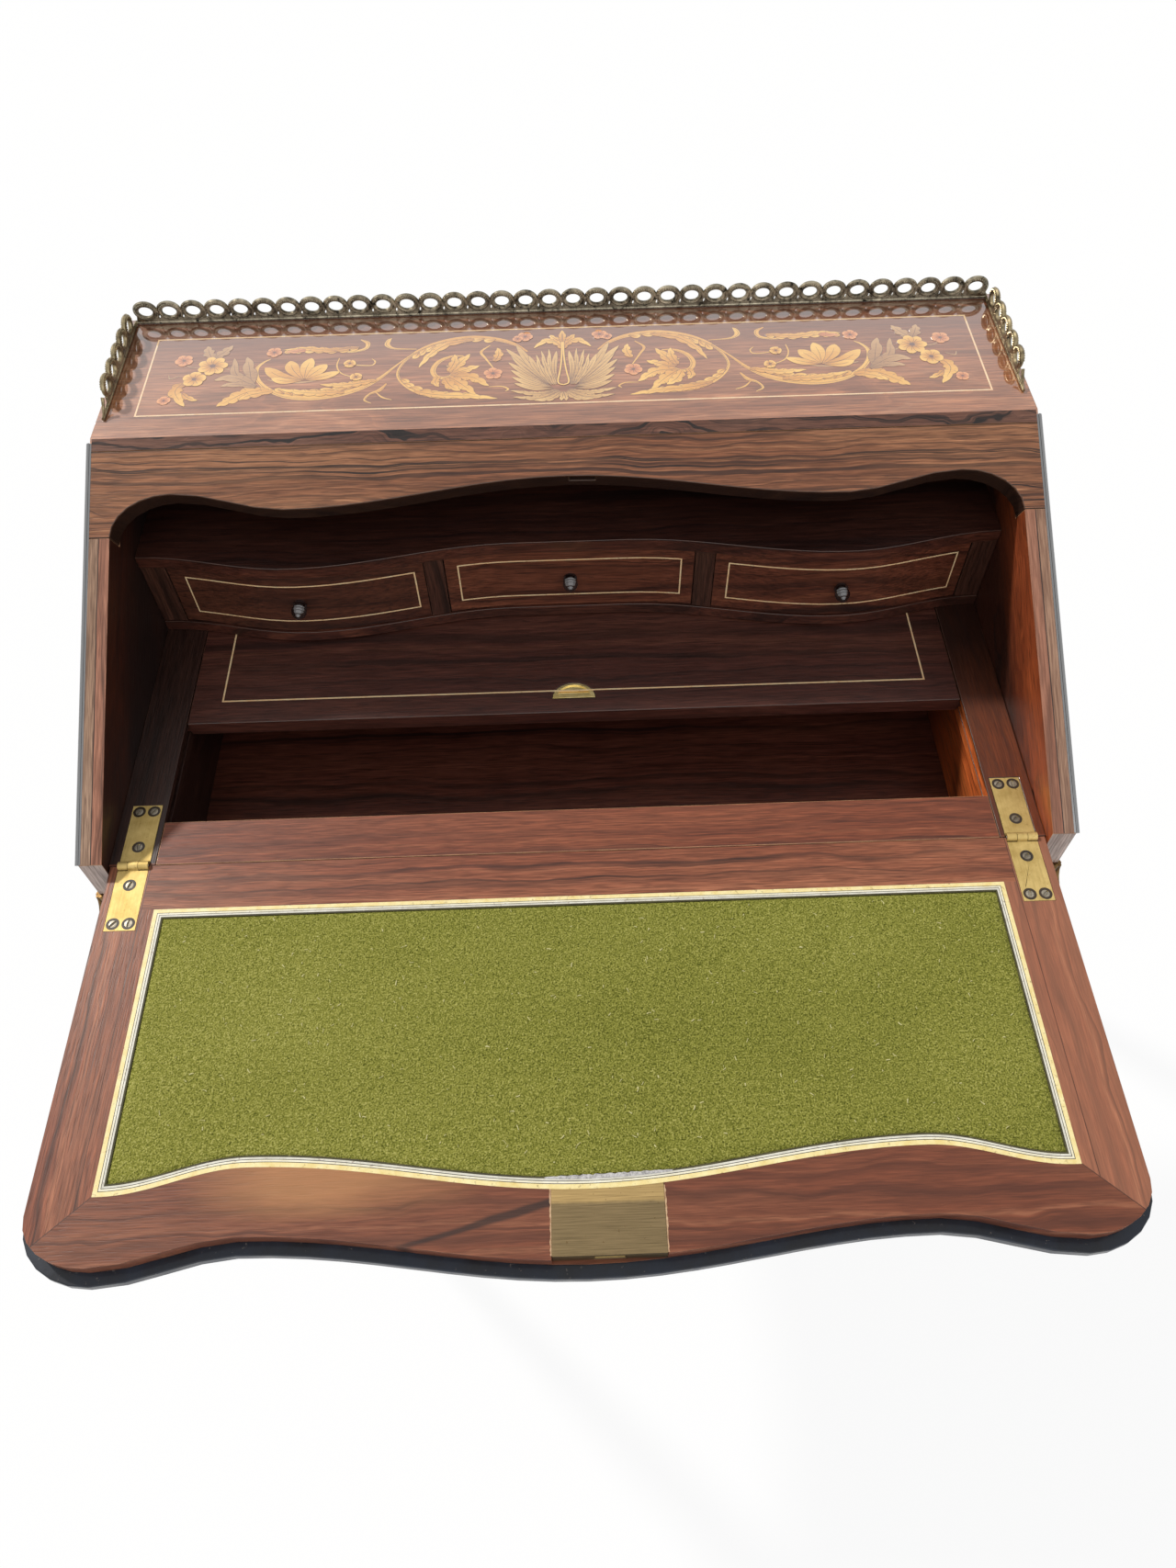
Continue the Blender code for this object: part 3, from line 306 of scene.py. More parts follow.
def rosewood(name, lay, ground, streak, gleam, rings=95.0, sway=0.024, wave=8.0, lines=0.5,
             polish=0.15, polish_rough=0.14, polish_bend=1.5):
    """Rosewood: growth rings swung into dark lines and streaks, silky fibre, pores and polish."""
    finish, tree, shader, spot = new_finish(
        name, Coat_Weight=polish, Coat_Roughness=polish_rough, Coat_IOR=polish_bend,
        Specular_IOR_Level=0.3)
    grain = lay(tree, spot)
    drift = strands(tree, grain, (wave, 18.0, 18.0), out="Color")
    swung = fit(tree, "ShaderNodeVectorMath", {0: drift, 1: (0.05, sway, sway), 2: grain},
                operation="MULTIPLY_ADD").outputs[0]
    heart = fit(tree, "ShaderNodeVectorMath", {0: stretched(tree, swung, (0.035, 1, 1))},
                operation="LENGTH").outputs["Value"]

    ring = calc(tree, "MULTIPLY", heart, rings)
    growth = {"W": ring, "Scale": 1.0, "Detail": 4.0, "Roughness": 0.62}
    rows = fit(tree, "ShaderNodeTexNoise", growth, noise_dimensions="1D").outputs["Fac"]
    middle = [(under + over) / 2 for under, over in zip(tone(*ground), tone(*streak))]
    figure = ramp(tree, rows, (0.34, streak), (0.44, middle), (0.50, ground), (0.60, ground),
                  (0.72, gleam))
    patch = strands(tree, swung, (3.0, 22.0, 22.0))
    figure = blended(tree, spread_over(tree, patch, -0.25, 0.7), figure, gleam)

    turn = calc(tree, "FRACT", calc(tree, "MULTIPLY_ADD", ring, 0.7, rows))
    black, grey = (0, 0, 0, 1), (0.9, 0.9, 0.9, 1)
    line = ramp(tree, turn, (0.0, WHITE), (0.06, grey), (0.16, black), (0.96, black), (1.0, WHITE))
    strength = strands(tree, swung, (5.0, 45.0, 45.0), 2.0)
    inked = calc(tree, "MULTIPLY", line,
                 spread_over(tree, strength, -0.4 * lines, 1.25 * lines))
    figure = blended(tree, inked, figure, [0.5 * level for level in streak])

    fibre = strands(tree, grain, (36.0, 800.0, 800.0), 3.0, 0.6)
    silk = ramp(tree, fibre, (0.3, (0.45, 0.42, 0.40, 1)), (0.7, (1.4, 1.42, 1.45, 1)))
    figure = blended(tree, 0.85, figure, silk, "MULTIPLY")
    thread = strands(tree, swung, (11.0, 260.0, 260.0), 2.0, 0.6)
    threads = ramp(tree, thread, (0.36, (0.5, 0.45, 0.42, 1)), (0.5, WHITE),
                   (0.66, (1.18, 1.16, 1.14, 1)))
    figure = blended(tree, 0.4, figure, threads, "MULTIPLY")

    pore = above(tree, strands(tree, grain, (55.0, 1000.0, 1000.0), 1.0), 0.56, 0.66)
    figure = blended(tree, calc(tree, "MULTIPLY", pore, 0.55), figure, streak)
    height = calc(tree, "MULTIPLY_ADD", pore, -0.6, fibre)
    laid_on(tree, shader, figure, spread_over(tree, fibre, 0.34, 0.5), height, 0.22, 0.0005)
    return finish


def shader_of(finish):
    """The shader that a finish feeds."""
    return next(node for node in finish.node_tree.nodes if node.type == "BSDF_PRINCIPLED")


def stained(finish, where, colour):
    """Stains a finish with a colour, by a share worked out from each place on the piece."""
    tree = finish.node_tree
    coloured = shader_of(finish).inputs["Base Color"]
    bare = coloured.links[0].from_socket
    share = where(tree, spot_on(tree))
    tree.links.new(blended(tree, share, bare, colour), coloured)


def rubbed_arris(name, low, high):
    """Wood worn pale along an edge, in broken lengths."""
    finish, tree, shader, spot = new_finish(name, Coat_Weight=0.1)
    wear = speckle(tree, spot, 60.0, 4.0, 0.7)
    laid_on(tree, shader, ramp(tree, wear, (0.35, low), (0.65, high)),
            spread_over(tree, wear, 0.35, 0.6))
    return finish


def seam_closer():
    """Closes the seams between a board's faces, rounds its curves and keeps its corners crisp."""
    group = bpy.data.node_groups.new("closed_seams", "GeometryNodeTree")
    for way in ("INPUT", "OUTPUT"):
        group.interface.new_socket("Geometry", in_out=way, socket_type="NodeSocketGeometry")
    start = fit(group, "NodeGroupInput").outputs[0]
    bare = fit(group, "GeometryNodeRemoveAttribute", {0: start, "Name": "custom_normal"}).outputs[0]
    whole = fit(group, "GeometryNodeMergeByDistance", {0: bare, "Distance": SEAM}).outputs[0]
    smooth = fit(group, "GeometryNodeSetShadeSmooth", {0: whole, "Shade Smooth": True},
                 domain="FACE").outputs[0]
    bend = fit(group, "GeometryNodeInputMeshEdgeAngle").outputs[0]
    crisp = fit(group, "FunctionNodeCompare", {0: bend, 1: SHARP_CORNER},
                operation="GREATER_THAN").outputs[0]
    sockets = {0: smooth, "Selection": crisp, "Shade Smooth": False}
    kept = fit(group, "GeometryNodeSetShadeSmooth", sockets, domain="EDGE").outputs[0]
    fit(group, "NodeGroupOutput", {0: kept})
    return group


CLOSED_SEAMS = seam_closer()


def dress(node, finish, edge=None, arris=ARRIS):
    """Gives a piece its finish, closes its seams, and rounds its arrises in a second finish."""
    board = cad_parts[node]
    board.data.materials.clear()
    board.data.materials.append(finish)
    board.modifiers.new("closed_seams", "NODES").node_group = CLOSED_SEAMS
    flat = board.modifiers.new("flat_faces", "DECIMATE")
    flat.decimate_type = "DISSOLVE"
    flat.angle_limit = FLAT_WITHIN
    if arris:
        board.data.materials.append(edge or finish)
        eased = board.modifiers.new("eased_arrises", "BEVEL")
        eased.limit_method = "ANGLE"
        eased.angle_limit = SHARP_CORNER
        eased.width = arris
        eased.segments = 2
        eased.use_clamp_overlap = True
        eased.harden_normals = True
        eased.material = 1


def apart(tree, spot):
    """The three distances of a place: across, back and up."""
    return fit(tree, "ShaderNodeSeparateXYZ", {0: spot}).outputs


def chosen(tree, share, first, second):
    """One of two places, by a share of nought or one."""
    sockets = {0: share, 4: first, 5: second}
    return fit(tree, "ShaderNodeMix", sockets, data_type="VECTOR").outputs[1]


def on_outside(tree, across):
    """One on the outer faces of the sides."""
    return calc(tree, "GREATER_THAN", calc(tree, "ABSOLUTE", across), SIDE_OUTER - OUTER_VENEER)


def side_lay(tree, spot):
    """Inside the desk the grain climbs the slant, outside it runs level."""
    inner = along(UP_THE_SLANT, (0, 0.02, -0.66))(tree, spot)
    outer = along(LEVEL_BACK, (0.4, 0.30, -0.62))(tree, spot)
    return chosen(tree, on_outside(tree, apart(tree, spot)[0]), inner, outer)


def shaded_left_wall(tree, spot):
    """The left side's inner face, darkened as painted shade."""
    across = apart(tree, spot)[0]
    inside = calc(tree, "GREATER_THAN", across, -SIDE_INNER - SKIN)
    return product(tree, inside, calc(tree, "LESS_THAN", across, 0.0), 0.75)


def weathered(tree, spot):
    """The outer faces and rear edges of the sides, browner than the sheltered inner faces."""
    place = apart(tree, spot)
    rear = calc(tree, "GREATER_THAN", place[1], SIDE_REAR - SKIN)
    return product(tree, calc(tree, "MAXIMUM", on_outside(tree, place[0]), rear), 0.5)


def slant_depth(tree, spot):
    """How far a place stands out from the slant through the hinge line."""
    place = apart(tree, spot)
    rise = calc(tree, "SUBTRACT", place[2], HINGE_Z)
    back = calc(tree, "SUBTRACT", place[1], HINGE_Y)
    return calc(tree, "SUBTRACT", product(tree, rise, math.cos(SLANT)),
                product(tree, back, math.sin(SLANT)))


def painted_wall_shadow(tree, spot):
    """Painted shadow on the right side's inner face, blackening away from its front edge."""
    inside = calc(tree, "LESS_THAN", apart(tree, spot)[0], SIDE_INNER + SKIN)
    deep = ranged(tree, slant_depth(tree, spot), WALL_SHADOW_DEPTH, WALL_LIT_DEPTH, 0.85, 0.0)
    return product(tree, inside, deep)


RUBBED = rubbed_arris("rubbed_rosewood", *RUBBED_WOOD)
side_wood = rosewood("side_rosewood", side_lay, **SIDE_WOOD)
# Painted shadow: the right side's inner face goes black away from its front edge.
stained(side_wood, painted_wall_shadow, (26, 17, 15))
# Painted shade: the left side's inner face is darkened.
stained(side_wood, shaded_left_wall, (30, 23, 22))
stained(side_wood, weathered, (112, 82, 68))
for node in ("left_side", "right_side"):
    dress(node, side_wood, RUBBED)

# Stile facings: two narrow slips of rosewood on the slanted front edge of each side, with a
# dark line between them, glued on with their grain running up the slant.
# A greyed slip faces each side below the joint.
HANDS = (("left", -1), ("right", 1))
FACING_LIFT = 0.0001
FACING_DEPTH = 0.0004
FACING_FOOT, FACING_HEAD = 0.0008, 0.2425
FACING_LINE = 0.0007
FACING_SPLIT = 0.3478
FACING_EDGE = 0.3550
FRONT_STEP = 0.005
FOOT_LOW, FOOT_HIGH = -0.0295, 0.0105
SMOOTH_WITHIN = math.radians(40)
SLANT_UP = (0, -math.sin(SLANT), math.cos(SLANT))
ACROSS, BACKWARD, UPWARD = 0, 1, 2


def made(name, points, faces, finish, body, slot=None, smooth=False):
    """A finished piece from its points and faces, riding on a body of the desk."""
    mesh = bpy.data.meshes.new(name)
    mesh.from_pydata([tuple(point) for point in points], [], faces)
    work = bmesh.new()
    work.from_mesh(mesh)
    bmesh.ops.recalc_face_normals(work, faces=work.faces)
    work.to_mesh(mesh)
    work.free()
    mesh.materials.append(finish)
    if smooth:
        mesh.shade_smooth()
        mesh.set_sharp_from_angle(angle=SMOOTH_WITHIN)
    piece = bpy.data.objects.new(name, mesh)
    scene.collection.objects.link(piece)
    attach(piece, body)
    return piece


def slip(outer, inner, up, lift, depth, loop=False):
    """A thin slip let in between two lines: a face standing by lift, and walls sunk by depth."""
    up = Vector(up)
    count = len(outer)
    points = [Vector(point) + up * rise
              for rise in (lift, -depth) for line in (outer, inner) for point in line]
    faces = []
    for k in range(count if loop else count - 1):
        n = (k + 1) % count
        corners = [(line * count + k, line * count + n) for line in range(4)]
        for first, second in ((0, 1), (1, 3), (3, 2), (2, 0)):
            faces.append([*corners[first], *corners[second][::-1]])
    if not loop:
        for k in (0, count - 1):
            faces.append([k, count + k, 3 * count + k, 2 * count + k])
    return points, faces


def stile_slip(side, inner, outer, head=FACING_HEAD):
    """A slip on the slanted edge of a side, between two distances from the middle."""
    edges = [[on_slant(side * x, reach, FRAME_FACE) for reach in (FACING_FOOT, head)]
             for x in (outer, inner)]
    return slip(*edges, SLANT_UP, FACING_LIFT, FACING_DEPTH)


def fading(axis, low, high, first, last):
    """A share that runs from first to last between two distances along an axis."""
    return lambda tree, spot: ranged(tree, apart(tree, spot)[axis], low, high, first, last)


facing_brown = rosewood("facing_brown_rosewood", along(UP_THE_SLANT, (0.1, 0.36, -0.7)),
                        (166, 132, 108), (104, 78, 64), (196, 165, 141), rings=150.0)
facing_red = rosewood("facing_red_rosewood", along(UP_THE_SLANT, (0.6, 0.365, -0.69)),
                      (168, 112, 88), (108, 68, 52), (196, 146, 122), rings=120.0)
for finish in (facing_brown, facing_red):
    stained(finish, fading(ACROSS, -0.1, 0.1, 0.0, 0.3), (142, 92, 68))
facing_grey = rosewood("facing_grey_rosewood", along(UPRIGHT, (0.2, 0.2, 0.3)),
                       (176, 156, 146), (128, 108, 98), (200, 182, 172))
facing_line = rosewood("facing_dark_line", along(UP_THE_SLANT, (0.2, 0.3, -0.7)),
                       (52, 38, 34), (30, 22, 20), (70, 52, 46))
LINE_IN, LINE_OUT = FACING_SPLIT - FACING_LINE / 2, FACING_SPLIT + FACING_LINE / 2
for label, side in HANDS:
    for part, inner, outer, finish, slot in (
            ("_outer_facing", LINE_OUT, FACING_EDGE, facing_brown, "rosewood"),
            ("_inner_facing", SIDE_INNER, LINE_IN, facing_red, "rosewood"),
            ("_facing_line", LINE_IN, LINE_OUT, facing_line, "ebonised_wood")):
        made(label + part, *stile_slip(side, inner, outer), finish, "case", slot)
    foot_edges = [[at(side * x, -FRONT_STEP, z) for z in (FOOT_LOW, FOOT_HIGH)]
                  for x in (SIDE_OUTER, SIDE_INNER)]
    made(label + "_foot_facing", *slip(*foot_edges, (0, -1, 0), FACING_LIFT, FACING_DEPTH),
         facing_grey, "case", "rosewood")

# Edge beads: slim rounds of ebonised wood glued along the outer corner of each slant,
# polished and scuffed.  A black line beside each bead covers the edge of the facing.
BLACK = ((7, 7, 9), (22, 21, 24), (70, 62, 54))
BEAD_HEAD = 0.3170
BEAD_GAP = 0.0001


def ebonised(name, deep, worn, scuff, rough=(0.22, 0.4), polish=0.2, polish_bend=1.5):
    """Black-stained wood under polish, greyed by handling, with small brown scuffs."""
    finish, tree, shader, spot = new_finish(
        name, Coat_Weight=polish, Coat_Roughness=0.1, Coat_IOR=polish_bend,
        Specular_IOR_Level=0.3)
    haze = speckle(tree, spot, 45.0, 4.0, 0.6)
    chip = speckle(tree, spot, 260.0, 3.0, 0.7)
    colour = ramp(tree, haze, (0.35, deep), (0.7, worn))
    colour = blended(tree, above(tree, chip, 0.66, 0.72), colour, scuff)
    laid_on(tree, shader, colour, spread_over(tree, haze, *rough), chip, 0.12, 0.0004)
    return finish


bead_black = ebonised("bead_black", *BLACK, polish=1.0, polish_bend=2.6)
for label, side in HANDS:
    dress(label + "_edge_bead", bead_black, arris=0.0003)
    made(label + "_bead_line", *stile_slip(side, FACING_EDGE + BEAD_GAP, SIDE_OUTER, BEAD_HEAD),
         bead_black, "case", "ebonised_wood")

# Slanted rail over the opening: one board of figured rosewood, its lower edge cut to the
# serpentine of the fall.  The grain runs level, with bold dark rings; the sawn edge is
# painted nearly black and the arris along it dark, as shade.
RAIL_SHOULDER = HINGE_Z + 0.1555
RAIL_FADE = 0.001
CUT_LOW, CUT_HIGH = FRAME_FACE - 0.0014, FRAME_FACE - 0.0006


def shaded_cut_edge(tree, spot):
    """Painted shade: one on the sawn edge below the face of the slant, nought on the face."""
    return ranged(tree, slant_depth(tree, spot), CUT_LOW, CUT_HIGH, 0.92, 0.0)


rail_wood = rosewood("rail_rosewood", along(LEVEL_ACROSS, (0.35, -0.10, -0.80)),
                     (138, 88, 61), (76, 47, 34), (184, 131, 94),
                     rings=300.0, sway=0.034, wave=6.0, lines=1.9)
rail_arris = rubbed_arris("rubbed_and_shaded_rail_arris", *RUBBED_WOOD)
# Painted shade: the arris darkens below the rail's shoulder, along its lower edge.
stained(rail_arris, fading(UPWARD, RAIL_SHOULDER, RAIL_SHOULDER + RAIL_FADE, 0.9, 0.0),
        (52, 35, 28))
# Painted shade: the sawn edge of the opening is darkened nearly black.
stained(rail_wood, shaded_cut_edge, (30, 20, 17))
dress("slant_rail", rail_wood, rail_arris)

# Back panel and apron: plain rosewood boards, the panel closing the back of the case and the
# apron its front under the fall.  Both are glued between the sides with their grain level,
# and the panel's inner face is painted nearly black as the shade inside the case.
BACK_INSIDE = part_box("back_panel")[0][1] + SKIN


def shaded_inside_back(tree, spot):
    """Painted shade on the inner face of the back panel."""
    return product(tree, calc(tree, "LESS_THAN", apart(tree, spot)[BACKWARD], BACK_INSIDE), 0.75)


back_wood = rosewood("back_rosewood", along(LEVEL_ACROSS, (0.0, -0.22, -0.72)),
                     (104, 62, 42), (50, 29, 21), (134, 84, 55))
apron_wood = rosewood("apron_rosewood", along(LEVEL_ACROSS, (0.9, 0.20, -0.60)),
                      (128, 78, 56), (58, 33, 25), (162, 106, 74))
# Painted shade: the back panel's inner face is darkened nearly black.
stained(back_wood, shaded_inside_back, (18, 13, 14))
dress("back_panel", back_wood, RUBBED)
dress("front_apron", apron_wood, RUBBED)

# Top: a rosewood-veneered board laid on the sides and bevelled along its front.
# A thick French polish makes it mirror the sky, least at its handled front edge; towards the
# back, under the gallery, its colour is made darker.
TOP_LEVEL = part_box("top_board")[1][2] - HINGE_Z
TOP_FRONT, TOP_BACK = HINGE_Y + 0.290, HINGE_Y + 0.415
SHADE_START, SHADE_FULL = HINGE_Y + 0.36, HINGE_Y + 0.40
MIRROR_POLISH = dict(polish=1.0, polish_rough=0.03, polish_bend=2.9)


def french_polished(finish):
    """Thins a mirror polish from the back of the top towards its handled front."""
    tree = finish.node_tree
    thickness = fading(BACKWARD, TOP_FRONT, TOP_BACK, 0.5, 0.92)(tree, spot_on(tree))
    tree.links.new(thickness, shader_of(finish).inputs["Coat Weight"])
    return finish


top_wood = rosewood("top_rosewood", along(LEVEL_ACROSS, (0.15, -0.24, -0.80)),
                    (170, 107, 70), (140, 84, 54), (186, 124, 86),
                    rings=170.0, lines=0.35, **MIRROR_POLISH)
stained(top_wood, fading(BACKWARD, SHADE_START, SHADE_FULL, 0.0, 0.8), (112, 64, 43))
dress("top_board", french_polished(top_wood), RUBBED)

# Edging of the top: a slip of dark, boldly figured rosewood glued along the bevelled front
# edge of the top.  Its lower edge meets the rail in a fine black joint.
EDGING_LOW, EDGING_HIGH = 0.3108, 0.3205
edging_wood = rosewood("edging_rosewood", along(LEVEL_ACROSS, (0.55, -0.16, -0.80)),
                       (106, 70, 56), (50, 32, 26), (142, 102, 84),
                       rings=190.0, sway=0.045, wave=12.0, lines=1.6)
edging_lines = [[on_slant(x, reach, FRAME_FACE) for x in (-FACING_EDGE, FACING_EDGE)]
                for reach in (EDGING_HIGH, EDGING_LOW)]
made("top_front_edging", *slip(*edging_lines, SLANT_UP, FACING_LIFT, FACING_DEPTH),
     edging_wood, "case", "rosewood")

# Stringing of the top: a single line of boxwood round the marquetry.
# It is let into a groove in the veneer, glued, and scraped flush before the polish.
TOP_STRING_X = 0.3277
TOP_STRING_FRONT, TOP_STRING_BACK = 0.3045, 0.4023
STRING_WIDTH = 0.0013
STRING_LIFT = 0.00012
STRING_DEPTH = 0.0006
STRING_DIRT = (120, 84, 52)
UP = (0, 0, 1)


def string_wood(name, low, high, polish=0.3, polish_rough=0.12, polish_bend=1.5):
    """Pale close-grained wood with fine flecks and a little dirt in it."""
    finish, tree, shader, spot = new_finish(
        name, Coat_Weight=polish, Coat_Roughness=polish_rough, Coat_IOR=polish_bend)
    fleck = speckle(tree, spot, 130.0, 5.0, 0.65)
    dirt = above(tree, speckle(tree, spot, 420.0), 0.62, 0.75, 0.5)
    colour = blended(tree, dirt, ramp(tree, fleck, (0.3, low), (0.65, high)), STRING_DIRT)
    laid_on(tree, shader, colour, spread_over(tree, fleck, 0.36, 0.52), fleck, 0.08, 0.0003)
    return finish


def frame_line(corners, width):
    """Outer and inner corners of a mitred line of one width round a rectangle."""
    (left, low), (right, high) = corners
    return [[(left - grow, low - grow), (right + grow, low - grow),
             (right + grow, high + grow), (left - grow, high + grow)]
            for grow in (width / 2, -width / 2)]


top_string_wood = french_polished(
    string_wood("top_boxwood", (246, 196, 146), (255, 226, 180), **MIRROR_POLISH))
top_corners = ((-TOP_STRING_X, TOP_STRING_FRONT), (TOP_STRING_X, TOP_STRING_BACK))
top_lines = [[at(x, y, TOP_LEVEL) for x, y in line]
             for line in frame_line(top_corners, STRING_WIDTH)]
made("top_string", *slip(*top_lines, UP, STRING_LIFT, STRING_DEPTH, loop=True),
     top_string_wood, "case", "rosewood")

# Marquetry of the top: scrolling foliage sawn from boxwood and stained woods and let into the
# veneer, a palmette in the middle and scrolls, leaves and flowers the same to both hands.
# Points are marked in millimetres from the middle of the front line.
MARQUETRY_LIFT = 0.00004
LAYER = 0.0000008
KERF = 0.28
KERF_BURN = (0.2, 0.6)
VEIN_BURN = (0.4, 0.6)
SCROLL_STEPS = 44
SCROLL_BURN = ((0.3, 0.5), (0.6, 0.9))
SCROLL_VEIN = 0.35
VEINED_WIDTH = 2.5
LEAF_STEPS = 34
LEAF_FULLNESS = 1.25
LEAF_ROOT = 0.05
LEAF_LEAST = 0.12
LEAF_BURN = ((0.05, 0.35), (0.65, 1.0))
LEAF_VEIN, RIB_VEIN = 0.4, 0.3
LOBED_FULLEST, WHOLE_FULLEST = 0.85, 1.6
LOBE_WAIST, LOBE_DEPTH, LOBE_OFFSET = 0.6, 0.46, 0.45
PETAL_STEPS = 12
PETAL_ROOT, PETAL_LENGTH, PETAL_WIDTH = 0.16, 0.88, 2.5
PETAL_BURN = (0.1, 0.95)
FLOWER_HEART = 0.2
HEART_BURN = (0.2, 0.8)
TEARDROP_BURN = (0.9, 1.0)

GOLD, RED, GREEN, TAN, MASTIC = "gold", "red", "green", "tan", "vein"
MARQUETRY_WOODS = {
    GOLD: ("marquetry_boxwood", (164, 100, 42), (222, 154, 60), (250, 198, 100)),
    RED: ("marquetry_red", (156, 84, 44), (210, 126, 72), (238, 164, 104)),
    GREEN: ("marquetry_green", (132, 90, 52), (178, 128, 78), (206, 160, 106)),
    TAN: ("marquetry_tan", (134, 88, 46), (200, 150, 84), (230, 184, 114)),
    MASTIC: ("marquetry_mastic", (74, 40, 26), (96, 54, 36), (116, 68, 44)),
}
# A scroll: its wood, the points of its line, and its widths along it.
SCROLLS = (
    (GOLD, ((28, 67), (38, 77), (52, 84.5), (71, 88), (89, 86), (105, 80), (119, 69), (128, 54),
            (130, 41), (124, 29), (113, 19), (99, 12.5), (82, 10)),
     (1.5, 3.5, 4.6, 5.6, 5.0, 3.8, 2.8, 2.2, 2.2, 2.8, 3.6, 3.0, 1.0)),
    (GOLD, ((117, 75), (127, 75.5), (136, 77), (141, 82), (140, 88), (138, 90.5)),
     (1.0, 1.5, 2.2, 4.5, 3.4, 0.6)),
    (GOLD, ((119, 70), (132, 54), (144, 38), (157, 27), (173, 20), (192, 16.5), (209, 17.5),
            (223, 23), (235, 34), (241, 45), (242, 56), (238, 63.5), (233, 67.5)),
     (0.8, 1.8, 3.2, 5.0, 6.4, 6.6, 5.4, 4.2, 3.8, 3.6, 3.0, 2.0, 0.7)),
    (GOLD, ((79, 64), (89, 63.5), (98.5, 57), (102.5, 46.5), (99.5, 38), (92, 36), (86, 41.5),
            (87.5, 49), (92, 51.5)), (1.2, 2.6, 4.0, 4.4, 4.0, 3.2, 2.6, 2.0, 0.8)),
    (GOLD, ((163, 90), (157, 85), (158, 78), (166, 74.5), (174, 74)), (1.0, 3.8, 3.2, 2.2, 1.5)),
    (GOLD, ((178, 66), (179, 56), (175, 46.5), (166, 41)), (1.0, 1.3, 1.2, 0.7)),
    (GOLD, ((152, 64), (149, 60), (151, 55.5), (159, 55.5), (166, 57)),
     (0.8, 1.3, 1.2, 1.0, 0.8)),
    (GOLD, ((58, 77), (65, 68.5), (61, 59), (54, 45)), (1.0, 2.4, 1.8, 0.8)),
    (GOLD, ((58, 23), (48, 23), (43, 19.5), (45, 17)), (0.8, 1.3, 1.6, 0.6)),
    (GOLD, ((138, 31), (143, 23), (150, 18.5), (153.5, 11.5), (148, 7)),
     (1.5, 3.6, 2.0, 1.8, 0.5)),
    (GOLD, ((145, 20), (140, 14), (132.5, 10.5)), (1.0, 1.6, 0.5)),
    (GREEN, ((184, 46.5), (192, 39), (206, 36), (222, 37.5), (232, 40.5)),
     (0.7, 1.6, 2.2, 1.6, 0.6)),
    (GREEN, ((238, 31), (254, 49), (268, 57)), (1.2, 1.4, 0.8)),
    (GREEN, ((286, 58), (296, 60.5), (302, 66)), (0.8, 1.0, 0.6)),
    (GOLD, ((300, 38), (305, 27), (310, 19)), (0.8, 0.8, 0.5)),
    (GREEN, ((302, 49), (309, 45.5), (311, 50)), (0.6, 1.2, 0.5)),
)
